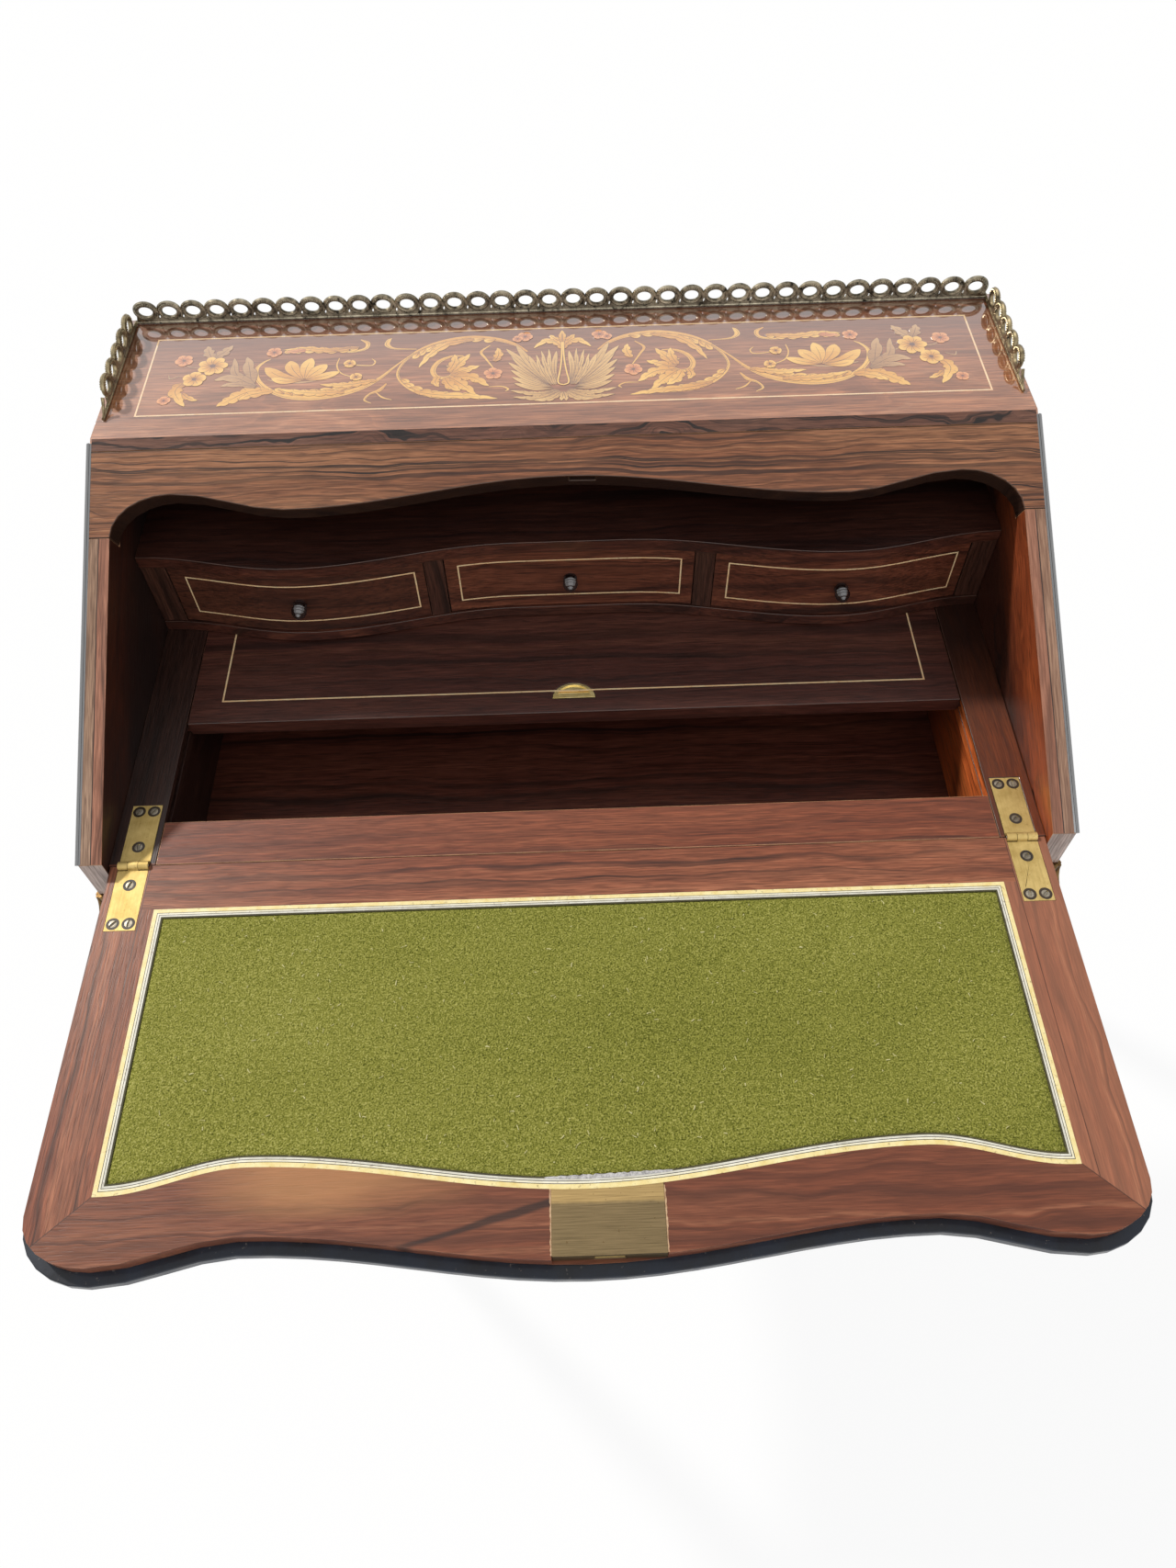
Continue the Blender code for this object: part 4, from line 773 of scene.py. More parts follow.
# A leaf: its wood, the points of its line, its width and the number of its lobes.
LEAVES = (
    (GOLD, ((71, 86), (92, 80), (106, 66), (114, 50)), 6.0, 5),
    (GOLD, ((116, 20), (98, 15), (72, 12), (51, 8)), 6.5, 6),
    (GOLD, ((88, 42), (82, 54), (74, 66)), 7.5, 3),
    (GOLD, ((90, 44), (86, 56), (86, 66)), 6.0, 3),
    (GOLD, ((88, 40), (76, 46), (66, 50)), 6.5, 3),
    (GOLD, ((88, 38), (72, 36), (58, 24)), 8.5, 4),
    (GOLD, ((90, 37), (80, 28), (68, 14)), 8.5, 4),
    (GOLD, ((93, 36), (88, 26), (80, 19)), 7.5, 3),
    (GOLD, ((98, 38), (100, 31), (97, 25)), 5.5, 3),
    (GOLD, ((146, 36), (168, 31), (190, 32)), 6.0, 6),
    (GOLD, ((170, 22), (196, 22), (222, 28)), 6.0, 6),
    (GOLD, ((229, 27), (246, 25), (258, 16), (267, 9)), 10.0, 5),
    (GOLD, ((226, 26), (242, 22), (251, 16)), 7.0, 3),
    (GOLD, ((203, 39), (222, 44), (236, 56)), 8.5, 1),
    (GOLD, ((204, 39), (213, 52), (217, 64)), 9.0, 1),
    (GOLD, ((203, 40), (203, 53), (200, 67)), 8.5, 1),
    (GOLD, ((202, 40), (195, 49), (187, 58)), 8.5, 1),
    (GOLD, ((202, 39), (190, 42), (176, 48)), 6.5, 1),
    (GOLD, ((205, 38), (218, 38), (229, 42)), 6.0, 1),
    (GOLD, ((164, 80), (186, 77), (206, 80), (224, 79)), 5.5, 6),
    (RED, ((206, 78), (214, 77), (222, 76)), 4.5, 2),
    (GOLD, ((54, 55), (51, 64), (52, 73)), 6.0, 3),
    (GREEN, ((243, 33), (248, 55), (252, 71)), 8.5, 2),
    (GREEN, ((244, 33), (258, 50), (262, 70)), 6.5, 2),
    (GREEN, ((240, 32), (258, 44), (274, 42)), 8.5, 2),
    (GREEN, ((240, 32), (256, 36), (268, 34)), 5.5, 2),
    (GREEN, ((279, 70), (272, 78), (266, 87)), 7.5, 3),
    (GREEN, ((280, 70), (284, 79), (286, 87)), 7.5, 3),
    (GOLD, ((298, 40), (302, 28), (292, 10)), 9.0, 3),
    (GOLD, ((296, 26), (290, 20), (283, 17)), 4.5, 2),
    (GOLD, ((0.6, 70), (5, 78), (14, 80), (23, 71)), 6.0, 4),
    (GOLD, ((3, 80), (7, 84), (10, 88)), 4.5, 2), (GOLD, ((0, 78), (0.2, 86), (0, 94)), 4.5, 2),
    (TAN, ((4, 16), (20, 12), (41, 17)), 4.9, 6), (TAN, ((3, 15), (18, 7), (39, 9)), 4.9, 6),
    (TAN, ((2, 14), (10, 6), (23, 4)), 4.5, 4), (TAN, ((0, 14), (1, 8), (2, 3)), 4.1, 2),
    (TAN, ((8, 18), (22, 19), (38, 26)), 4.1, 1), (TAN, ((9, 20), (24, 24), (40, 34)), 4.1, 1),
    (TAN, ((10, 21), (26, 30), (41, 43)), 4.1, 1), (TAN, ((11, 22), (28, 37), (43, 53)), 4.1, 1),
    (TAN, ((12, 23), (28, 43), (41, 62)), 4.1, 1), (TAN, ((12, 24), (28, 48), (45, 71)), 4.5, 1),
    (TAN, ((11, 24), (25, 49), (37, 76)), 4.9, 1), (TAN, ((10, 24), (20, 42), (27, 61)), 3.8, 1),
    (TAN, ((9, 23), (17, 42), (21, 62)), 3.6, 3), (TAN, ((7, 23), (13, 44), (17, 67)), 3.8, 3),
    (TAN, ((6, 23), (10, 45), (11, 69)), 3.8, 3), (TAN, ((5, 26), (7, 45), (5, 66)), 3.4, 1),
)
# A plume: its wood, the points of its spine, and the count, reach, width and lean of its leaves.
PLUMES = (
    (GOLD, ((152, 36), (166, 26), (185, 21), (205, 19), (221, 23)), 9, 15.0, 4.4, 34),
    (GOLD, ((129, 38), (122, 27), (110, 18), (95, 13), (76, 11)), 8, 13.0, 4.2, -34),
    (GOLD, ((50, 84), (70, 87.5), (90, 85), (106, 78), (118, 68)), 8, 14.0, 4.2, -30),
    (GOLD, ((161, 81), (178, 78.5), (198, 79.5), (220, 79)), 7, 12.0, 4.0, -32),
)
# A flower: its wood, its centre, its radius and the number of its petals.
FLOWERS = (
    (GOLD, (278, 60.5), 11.5, 7), (RED, (302, 68.5), 7.0, 5), (GOLD, (290, 44), 9.0, 5),
    (RED, (309, 18), 5.0, 4), (RED, (55, 39.5), 7.0, 5), (RED, (231, 76), 6.0, 5),
    (RED, (30, 87), 6.0, 5), (GOLD, (162.5, 40.5), 4.5, 3), (GOLD, (169, 58), 4.5, 3),
    (RED, (36, 84), 4.0, 4),
)
TEARDROP = (((0, 22.3), (3.4, 24), (4.2, 28.5), (2.8, 38), (1.5, 50), (0.8, 62), (0.6, 78)), 1.2)


def place_along(marks, share):
    """The mark of a row that a share falls after, and how far on it lies towards the next."""
    place = min(share * (len(marks) - 1), len(marks) - 1.000001)
    return int(place), place % 1


def smooth_line(knots, steps):
    """A smooth line through marked points."""
    knots = [Vector(knot) for knot in knots]
    ends = [2 * knots[0] - knots[1]] + knots + [2 * knots[-1] - knots[-2]]
    line = []
    for step in range(steps + 1):
        k, f = place_along(knots, step / steps)
        a, b, c, d = ends[k:k + 4]
        line.append(0.5 * (2 * b + (c - a) * f + (2 * a - 5 * b + 4 * c - d) * f * f
                           + (3 * b - a - 3 * c + d) * f ** 3))
    return line


def square_to(before, after):
    """The way from one point to another, and the way square to it."""
    way = (after - before).normalized()
    return way, Vector((-way.y, way.x))


def edges_of(line, halves):
    """The two edges of a band that follows a line, each standing off by its own widths."""
    sides = ([], [])
    for k, point in enumerate(line):
        _, square = square_to(line[max(k - 1, 0)], line[min(k + 1, len(line) - 1)])
        sides[0].append(point + square * halves[0][k])
        sides[1].append(point - square * halves[1][k])
    return sides


def scroll_shape(knots, widths):
    """A scroll that follows a smooth line, thick and thin by its marked widths."""
    line = smooth_line(knots, SCROLL_STEPS)
    halves = []
    for step in range(SCROLL_STEPS + 1):
        k, f = place_along(widths, step / SCROLL_STEPS)
        halves.append((widths[k] * (1 - f) + widths[k + 1] * f) / 2)
    return edges_of(line, (halves, halves)), line


def leaf_shape(knots, width, lobes):
    """A leaf that swells and narrows to its tip, whole or cut into forward-leaning lobes."""
    line = smooth_line(knots, LEAF_STEPS)
    fullest = LOBED_FULLEST if lobes > 1 else WHOLE_FULLEST
    sides = ([], [])
    for k in range(LEAF_STEPS + 1):
        share = k / LEAF_STEPS
        run = min(1, LEAF_ROOT + (1 - LEAF_ROOT) * share)
        swell = math.sin(math.pi * run ** fullest) ** 0.7 * width / 2 * LEAF_FULLNESS
        for side, start in enumerate((0.0, LOBE_OFFSET)):
            tooth = (share * lobes + start) % 1
            round_lobe = math.sin(math.pi * tooth ** 1.6) ** 0.6
            notch = LOBE_WAIST + LOBE_DEPTH * round_lobe if lobes > 1 else 1.0
            sides[side].append(max(LEAF_LEAST, swell * notch))
    return edges_of(line, sides), line


def plume(spine, count, reach, lean):
    """Finger leaves that spring from one side of a spine and bend forward along it."""
    line = smooth_line(spine, SCROLL_STEPS)
    for k in range(count):
        place = round((0.04 + 0.9 * k / (count - 1)) * SCROLL_STEPS)
        way, square = square_to(line[place - 1], line[min(place + 1, SCROLL_STEPS)])
        long = reach * (0.7 + 0.3 * math.sin(math.pi * k / (count - 1)))
        knee, tip = [(way * math.cos(turn) + square * math.sin(turn)) * long / 2
                     for turn in (lean, 0.3 * lean)]
        yield line[place], line[place] + knee, line[place] + knee + tip


def petal_shape(centre, radius, petals, angle):
    """One of a flower's petals, round at its tip and narrow at the heart."""
    way = Vector((math.cos(angle), math.sin(angle)))
    root = Vector(centre) + way * radius * PETAL_ROOT
    line, halves = [], []
    for f in range(PETAL_STEPS + 1):
        line.append(root + way * radius * PETAL_LENGTH * f / PETAL_STEPS)
        swell = math.sin(math.pi * (0.1 + 0.86 * f / PETAL_STEPS) ** 1.3) ** 0.6
        halves.append(radius * PETAL_WIDTH / petals * swell)
    return edges_of(line, (halves, halves)), line


def flower_heart(centre, radius):
    """The upper and lower half of the round heart of a flower."""
    turns = [f * math.pi / 6 for f in range(7)]
    upper = [Vector(centre) + Vector((math.cos(turn), math.sin(turn))) * radius * FLOWER_HEART
             for turn in turns]
    return upper, [Vector((point.x, 2 * centre[1] - point.y)) for point in upper]


inlays = {wood: [] for wood in MARQUETRY_WOODS}


def let_in(wood, edges, hand, burn, layer):
    """Lets one sawn piece into the top, shaded in hot sand from its root to its tip."""
    lift = MARQUETRY_LIFT + LAYER * layer
    lines = [[at(hand * p.x / 1000, TOP_STRING_FRONT + p.y / 1000, TOP_LEVEL) for p in edge]
             for edge in edges]
    points, faces = slip(*lines, UP, lift, STRING_DEPTH)
    count = len(edges[0])
    shade = [burn[0] + (burn[1] - burn[0]) * (k % count) / (count - 1)
             for k in range(len(points))]
    inlays[wood].append((points, faces, shade))


def vein(line, hand, width, first, last, layer):
    """An engraved line filled with dark mastic."""
    cut = line[int(first * len(line)):int(last * len(line))]
    halves = [width / 2 * math.sin(math.pi * (k + 0.6) / (len(cut) + 0.2)) ** 0.5
              for k in range(len(cut))]
    let_in(MASTIC, edges_of(cut, (halves, halves)), hand, VEIN_BURN, layer)


def kerfed(wood, shape, hand, burn, layer):
    """A sawn piece in the dark line that the saw left round it."""
    edges, line = shape
    wider = [[point + (point - middle).normalized() * KERF for point, middle in zip(edge, line)]
             for edge in edges]
    let_in(MASTIC, wider, hand, KERF_BURN, layer)
    let_in(wood, edges, hand, burn, layer + 1)


chance = random.Random(41)
for hand in (1, -1):
    layer = 0 if hand > 0 else 0.5
    for wood, knots, widths in SCROLLS:
        shape = scroll_shape(knots, widths)
        kerfed(wood, shape, hand, [chance.uniform(*span) for span in SCROLL_BURN], layer)
        if max(widths) > VEINED_WIDTH:
            rim = [0.6 * middle + 0.4 * edge for middle, edge in zip(shape[1], shape[0][1])]
            vein(rim, hand, SCROLL_VEIN, 0.08, 0.95, layer + 2)
        layer += 3
    fingers = [(wood, knots, width, 1) for wood, spine, count, reach, width, lean in PLUMES
               for knots in plume(spine, count, reach, math.radians(lean))]
    for wood, knots, width, lobes in fingers + list(LEAVES):
        shape = edges, line = leaf_shape(knots, width, lobes)
        kerfed(wood, shape, hand, [chance.uniform(*span) for span in LEAF_BURN], layer)
        vein(line, hand, LEAF_VEIN, 0.02, 0.8, layer + 2)
        for lobe in range(1, lobes):
            k = int(LEAF_STEPS * (lobe - 0.2) / lobes)
            for edge in edges:
                rib = [edge[k].lerp(line[k - 2], 0.55 * f / 5) for f in range(6)]
                vein(rib, hand, RIB_VEIN, 0.0, 1.0, layer + 2)
        layer += 3
    for wood, centre, radius, petals in FLOWERS:
        turn = chance.uniform(0, 1)
        for k in range(petals):
            shape = petal_shape(centre, radius, petals, 2 * math.pi * (k + turn) / petals)
            kerfed(wood, shape, hand, PETAL_BURN, layer)
            vein(shape[1], hand, SCROLL_VEIN, 0.0, 0.7, layer + 2)
            layer += 3
        let_in(MASTIC, flower_heart(centre, radius), hand, HEART_BURN, layer)
        layer += 1
    knots, width = TEARDROP
    kerfed(GOLD, scroll_shape(knots, (width, width)), hand, TEARDROP_BURN, layer)


def marquetry_wood(name, burnt, low, high):
    """A marquetry wood, scorched towards the root of each piece, with a sawn veneer's flecks."""
    finish, tree, shader, spot = new_finish(
        name, Coat_Roughness=MIRROR_POLISH["polish_rough"], Coat_IOR=MIRROR_POLISH["polish_bend"])
    scorch = fit(tree, "ShaderNodeAttribute", attribute_name="scorch").outputs["Fac"]
    fleck = strands(tree, spot, (160, 700, 160), 3.0, 0.6)
    colour = ramp(tree, varied(tree, fleck, 0.7, scorch), (0.0, burnt), (0.35, low), (0.85, high))
    laid_on(tree, shader, colour, spread_over(tree, fleck, 0.36, 0.5), fleck, 0.06, 0.0003)
    return french_polished(finish)


def gathered(parts):
    """Several loose shapes as one list of points and one of faces."""
    points, faces = [], []
    for more, shapes in parts:
        start = len(points)
        points += more
        faces += [[start + index for index in shape] for shape in shapes]
    return points, faces


def marked(piece, name, values):
    """Notes a value at each point of a piece, for its finish to use."""
    layer = piece.data.attributes.new(name, "FLOAT", "POINT")
    layer.data.foreach_set("value", values)


for wood, parts in inlays.items():
    inlay = made("marquetry_" + wood, *gathered([part[:2] for part in parts]),
                 marquetry_wood(*MARQUETRY_WOODS[wood]), "case", "rosewood")
    marked(inlay, "scorch", [shade for part in parts for shade in part[2]])

# Gallery: a low cast-brass fence of lapped rings on a base rail, pinned round the back and
# sides of the top.  Each ring is a beaded hoop wrapped by a band that swings over it and
# tucks under the next, with three berries in the gap.
GALLERY_LINE_X, GALLERY_LINE_Y = 0.35025, 0.42575
GALLERY_BASE = TOP_LEVEL + 0.0003
GALLERY_TAIL = 0.010
BASE_START, BASE_RISE, BASE_ROD, BASE_SIDES = 0.0002, 0.0012, 0.00125, 10
FILLET_RISE, FILLET_ROD, FILLET_SIDES = 0.0028, 0.0006, 6
TAIL_STEPS = 8
TAIL_LOW, TAIL_CLIMB = 0.0022, 0.0085
TAIL_THIN, TAIL_SWELL = 0.0006, 0.0008
RING_PITCH = 0.0194
RING_RISE = 0.0108
RING_STEPS = 22
HOOP = (0.0074, 0.0058)
HOOP_ROD = 0.0018
SPANDREL = 0.0008
SPANDREL_STEPS = 12
SPANDREL_FOOT, SPANDREL_GAP = 0.002, 0.0001
BAND = (0.0087, 0.0070)
BAND_ROD = 0.0015
BAND_FIRST, BAND_SWEEP = 208, 262
BAND_FLARE, BAND_FLARE_FROM = 0.22, 0.72
PEARLS = 11
PEARL_OVAL = (0.0077, 0.0066)
PEARL_FIRST, PEARL_STEP = 18, 14.4
PEARL_STAND, PEARL_SIZE = 0.0017, 0.0010
BERRIES = ((0.0070, 0.0058, 0.00095), (0.0084, 0.0048, 0.00085), (0.0092, 0.0064, 0.00075))
BERRY_STAND = 0.0006
WEB = ((0.0075, 0.0026, 0.0008), (0.0092, 0.0048, 0.0011), (0.0110, 0.0026, 0.0008))


def tube(path, radii, flat=1.0, sides=7, loop=False):
    """A rod bent along a path in the gallery's plane: along, up, and its own thickness across."""
    points, faces = [], []
    count = len(path)
    for k, point in enumerate(path):
        before = path[k - 1] if loop or k else path[0]
        after = path[(k + 1) % count] if loop or k < count - 1 else path[-1]
        _, square = square_to(before, after)
        for s in range(sides):
            turn = 2 * math.pi * s / sides
            spread = square * math.cos(turn) * radii[k]
            points.append((point.x + spread.x, math.sin(turn) * radii[k] * flat,
                           point.y + spread.y))
    for k in range(count if loop else count - 1):
        n = (k + 1) % count
        for s in range(sides):
            t = (s + 1) % sides
            faces.append([k * sides + s, k * sides + t, n * sides + t, n * sides + s])
    if not loop:
        faces.append(list(range(sides))[::-1])
        faces.append([(count - 1) * sides + s for s in range(sides)])
    return points, faces


def balls(x, stand, z, radius):
    """A pair of small cast balls, one on each face of the gallery."""
    for y in (-stand, stand):
        ball = bmesh.new()
        bmesh.ops.create_icosphere(ball, subdivisions=1, radius=radius)
        points = [(v.co.x + x, v.co.y + y, v.co.z + z) for v in ball.verts]
        faces = [[v.index for v in face.verts] for face in ball.faces]
        ball.free()
        yield points, faces


def on_oval(turn, wide, tall):
    """A point on an oval standing round the middle of a ring."""
    return Vector((0, RING_RISE)) + Vector((math.cos(turn) * wide, math.sin(turn) * tall))


def ring_unit():
    """One ring of the gallery, standing over nought."""
    hoop = [on_oval(2 * math.pi * k / RING_STEPS, *HOOP) for k in range(RING_STEPS)]
    parts = [tube(hoop, [HOOP_ROD] * RING_STEPS, loop=True)]
    band, radii = [], []
    for k in range(RING_STEPS + 1):
        share = k / RING_STEPS
        grow = 1.0 + BAND_FLARE * max(0, share - BAND_FLARE_FROM) / (1 - BAND_FLARE_FROM)
        turn = math.radians(BAND_FIRST - BAND_SWEEP * share)
        band.append(on_oval(turn, BAND[0] * grow, BAND[1] * grow))
        swell = math.sin(math.pi * min(1, share * 0.92 + 0.06)) ** 0.7
        radii.append(BAND_ROD * (0.55 + 0.75 * swell))
    parts.append(tube(band, radii, flat=0.95))
    for k in range(PEARLS):
        pearl = on_oval(math.radians(PEARL_FIRST + PEARL_STEP * k), *PEARL_OVAL)
        parts += balls(pearl.x, PEARL_STAND, pearl.y, PEARL_SIZE)
    for u, v, radius in BERRIES:
        parts += balls(u, BERRY_STAND, v, radius)
    parts.append(tube([Vector(spot[:2]) for spot in WEB], [spot[2] for spot in WEB], flat=0.8))
    belly = [on_oval(math.pi * (1 + k / SPANDREL_STEPS), *HOOP) for k in range(SPANDREL_STEPS + 1)]
    wide = RING_PITCH / 2 - SPANDREL_GAP
    foot = [(point.x / HOOP[0] * wide, 0, SPANDREL_FOOT) for point in belly]
    curve = [(point.x, 0, point.y) for point in belly]
    parts.append(slip(foot, curve, (0, 1, 0), SPANDREL, SPANDREL))
    return parts


def gallery_run(length, tail):
    """A length of gallery from nought: base rail, rings, and a low pointed tail at its start."""
    count = int((length - tail) / RING_PITCH)
    margin = tail + (length - tail - count * RING_PITCH) / 2
    parts = [tube([Vector((start, rise)), Vector((length, rise))], [rod, rod], sides=sides)
             for start, rise, rod, sides in (
                 (BASE_START, BASE_RISE, BASE_ROD, BASE_SIDES),
                 (tail * 0.5, FILLET_RISE, FILLET_ROD, FILLET_SIDES))]
    for k in range(count):
        shift = margin + (k + 0.5) * RING_PITCH
        for points, faces in ring_unit():
            parts.append(([(x + shift, y, z) for x, y, z in points], faces))
    if tail:
        shares = [f / TAIL_STEPS for f in range(TAIL_STEPS + 1)]
        sweep = [Vector((tail * (0.1 + 1.25 * f), TAIL_LOW + TAIL_CLIMB * f ** 1.6))
                 for f in shares]
        parts.append(tube(sweep, [TAIL_THIN + TAIL_SWELL * f for f in shares]))
    return gathered(parts)


def brass(name, dark, low, high, rough, patina, patina_grip, scratch=(40, 1500, 400)):
    """Brass: metal of uneven colour, finely rubbed, and dark where hands and polish don't reach."""
    finish, tree, shader, spot = new_finish(name, Metallic=1.0)
    cloud = speckle(tree, spot, 55.0, 5.0, 0.65)
    rub = strands(tree, spot, scratch, 3.0, 0.6)
    stain = above(tree, speckle(tree, spot, patina_grip, 4.0, 0.7), patina, patina + 0.16)
    colour = ramp(tree, varied(tree, rub, 0.5, cloud), (0.3, low), (0.7, high))
    rubbed = spread_over(tree, rub, rough - 0.08, rough + 0.08)
    laid_on(tree, shader, blended(tree, stain, colour, dark),
            calc(tree, "MULTIPLY_ADD", stain, 0.2, rubbed), rub, 0.1, 0.0002)
    return finish


EVEN_RUBBING = (300, 300, 300)
gallery_brass = brass("gallery_brass", (27, 25, 22), (80, 74, 62), (174, 165, 143),
                      0.3, 0.52, 190.0, EVEN_RUBBING)
# The side runs take a warmer, yellower copy of the brass: painted daylight falling on them.
side_run_brass = brass("gallery_side_run_brass", (34, 30, 25), (86, 76, 58), (166, 151, 118),
                     0.34, 0.54, 190.0, EVEN_RUBBING)
points, faces = gallery_run(2 * GALLERY_LINE_X, 0)
placed = [at(u - GALLERY_LINE_X, GALLERY_LINE_Y + w, GALLERY_BASE + v) for u, w, v in points]
back_run = made("gallery_back_rings", placed, faces, gallery_brass, "case", "old_brass",
                smooth=True)
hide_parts("gallery_back")
side_low, side_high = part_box("gallery_left")
side_start = side_low[1] - HINGE_Y
points, faces = gallery_run(side_high[1] - side_low[1], GALLERY_TAIL)
for label, side in HANDS:
    placed = [at(side * GALLERY_LINE_X + w, side_start + u, GALLERY_BASE + v) for u, w, v in points]
    side_run = made("gallery_" + label + "_rings", placed, faces, side_run_brass, "case",
                    "old_brass", smooth=True)
    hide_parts("gallery_" + label)

# Drawer nest: deck, shelf, dividers and cheeks of thin dark rosewood that house the drawers.
# They are slotted together and glued in between the sides, bowed along the front as the
# drawers are.
NEST_WOOD = dict(ground=(77, 41, 31), streak=(33, 18, 15), gleam=(99, 56, 41), lines=0.6)
SHELF_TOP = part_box("drawer_shelf")[1][2]
nest_wood = rosewood("nest_rosewood", along(LEVEL_ACROSS, (0.7, 0.10, -0.66)), **NEST_WOOD)
post_wood = rosewood("divider_rosewood", along(UPRIGHT, (0.2, 0.15, 0.30)),
                     (74, 45, 35), (38, 24, 19), (96, 62, 47))
# Painted shade: the shelf's top face is darkened halfway to near black.
stained(nest_wood, fading(UPWARD, SHELF_TOP - 2 * SKIN, SHELF_TOP - SKIN, 0.0, 0.5), (20, 14, 15))
dark_rubbed = rubbed_arris("rubbed_dark_rosewood", (44, 27, 21), (84, 53, 39))
for node in ("drawer_deck", "drawer_shelf"):
    dress(node, nest_wood, dark_rubbed, 0.0005)
for node in ("left_divider", "right_divider", "left_cheek", "right_cheek"):
    dress(node, post_wood, dark_rubbed, 0.0004)

# Drawers: serpentine rosewood fronts with a boxwood string let in round them, on sides and
# bottoms of oak.  Each has a beehive knob turned in ebonised wood and pegged into its front.
# A knob's turning is marked as distances out from the front, each with its radius.
DRAWER_STRINGS = {"left": (-0.3062, -0.1239), "centre": (-0.0895, 0.0895),
                  "right": (0.1273, 0.3104)}
DRAWER_STRING_LOW, DRAWER_STRING_HIGH = 0.022, 0.0605
DRAWER_STRING_WIDTH = 0.0011
STRING_SPACING = 0.003
BEFORE_THE_NEST = 0.1
DRAWER_SHADE_FROM, DRAWER_SHADE_TO = -0.09, -0.13
KNOB_SIDES = 28
KNOB_TURNING = (
    (0.0, 0.0055), (0.0012, 0.0055), (0.0018, 0.0034), (0.0036, 0.0030), (0.0043, 0.0050),
    (0.0054, 0.0058), (0.0062, 0.0050), (0.0068, 0.0058), (0.0077, 0.0062), (0.0086, 0.0058),
    (0.0092, 0.0050), (0.0101, 0.0054), (0.0112, 0.0046), (0.0118, 0.0034), (0.0128, 0.0033),
    (0.0136, 0.0020), (0.0141, 0.0013), (0.0147, 0.0013))


def oak(name):
    """Drawer-lining oak: pale brown, straight grained, dry and unpolished."""
    finish, tree, shader, spot = new_finish(name)
    grain = strands(tree, spot, (90, 12, 300), 5.0, 0.65)
    pore = strands(tree, spot, (700, 60, 900), 1.0)
    colour = ramp(tree, grain, (0.3, (126, 88, 52)), (0.7, (176, 134, 86)))
    colour = blended(tree, above(tree, pore, 0.58, 0.68, 0.7), colour, (84, 56, 34))
    laid_on(tree, shader, colour, spread_over(tree, grain, 0.55, 0.75), pore, 0.2, 0.0004)
    return finish


def string_on_front(node, left, right):
    """A line of string round a bowed drawer front, laid to the front's own curve."""
    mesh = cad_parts[node].data
    front = BVHTree.FromPolygons([v.co for v in mesh.vertices],
                                 [list(face.vertices) for face in mesh.polygons])
    steps = round((right - left) / STRING_SPACING)
    corners = ((left, DRAWER_STRING_LOW), (right, DRAWER_STRING_HIGH))
    loops = []
    for (x0, z0), (x1, _), (_, z1), _ in frame_line(corners, DRAWER_STRING_WIDTH):
        across = [x0 + (x1 - x0) * k / steps for k in range(steps + 1)]
        flat = [(x, z0) for x in across] + [(x1, z1)] + [(x, z1) for x in across[::-1][1:]]
        starts = [Vector(at(x, BEFORE_THE_NEST, z)) for x, z in flat]
        loops.append([front.ray_cast(start, Vector((0, 1, 0)))[0] for start in starts])
    return slip(*loops, (0, -1, 0), STRING_LIFT, STRING_DEPTH, loop=True)


def circle(count, radius):
    """Points round a circle."""
    turns = [2 * math.pi * k / count for k in range(count)]
    return [(radius * math.cos(turn), radius * math.sin(turn)) for turn in turns]


def turned_knob(node):
    """A beehive knob turned to rings, out from the face of its drawer."""
    low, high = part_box(node)
    across, level = (low[0] + high[0]) / 2, (low[2] + high[2]) / 2
    points = [(across + u, high[1] - out, level + v)
              for out, radius in KNOB_TURNING for u, v in circle(KNOB_SIDES, radius)]
    last = len(points) - KNOB_SIDES
    faces = [list(range(KNOB_SIDES)), list(range(last, len(points)))]
    for start in range(0, last, KNOB_SIDES):
        for k in range(KNOB_SIDES):
            n = (k + 1) % KNOB_SIDES
            faces.append([start + k, start + n, start + KNOB_SIDES + n, start + KNOB_SIDES + k])
    return points, faces


drawer_wood = rosewood("drawer_rosewood", along(LEVEL_ACROSS, (0.3, 0.05, -0.55)),
                       (102, 56, 40), (44, 24, 19), (131, 77, 54), lines=0.7)
# Painted shade: the left drawer is darkened towards its left end, where the desk's shadow falls.
stained(drawer_wood, fading(ACROSS, DRAWER_SHADE_FROM, DRAWER_SHADE_TO, 0.0, 0.48), (34, 24, 22))
drawer_oak = oak("drawer_oak")
drawer_string_wood = string_wood("drawer_boxwood", (255, 206, 150), (255, 230, 182))
knob_black = ebonised("knob_black", (22, 14, 13), (50, 32, 28), (92, 62, 46), (0.12, 0.24),
                      polish=0.9, polish_bend=1.7)
for label, (left, right) in DRAWER_STRINGS.items():
    body = label + "_drawer"
    dress(body + "_front", drawer_wood, dark_rubbed, 0.0004)
    dress(body + "_carcase", drawer_oak, arris=0.0003)
    dress(body + "_bottom", drawer_oak, arris=0.0002)
    knob = made(body + "_turned_knob", *turned_knob(body + "_knob"), knob_black, body,
                "ebonised_wood", smooth=True)
    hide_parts(body + "_knob")
    made(body + "_string", *string_on_front(body + "_front", left, right), drawer_string_wood,
         body, "dark_rosewood")
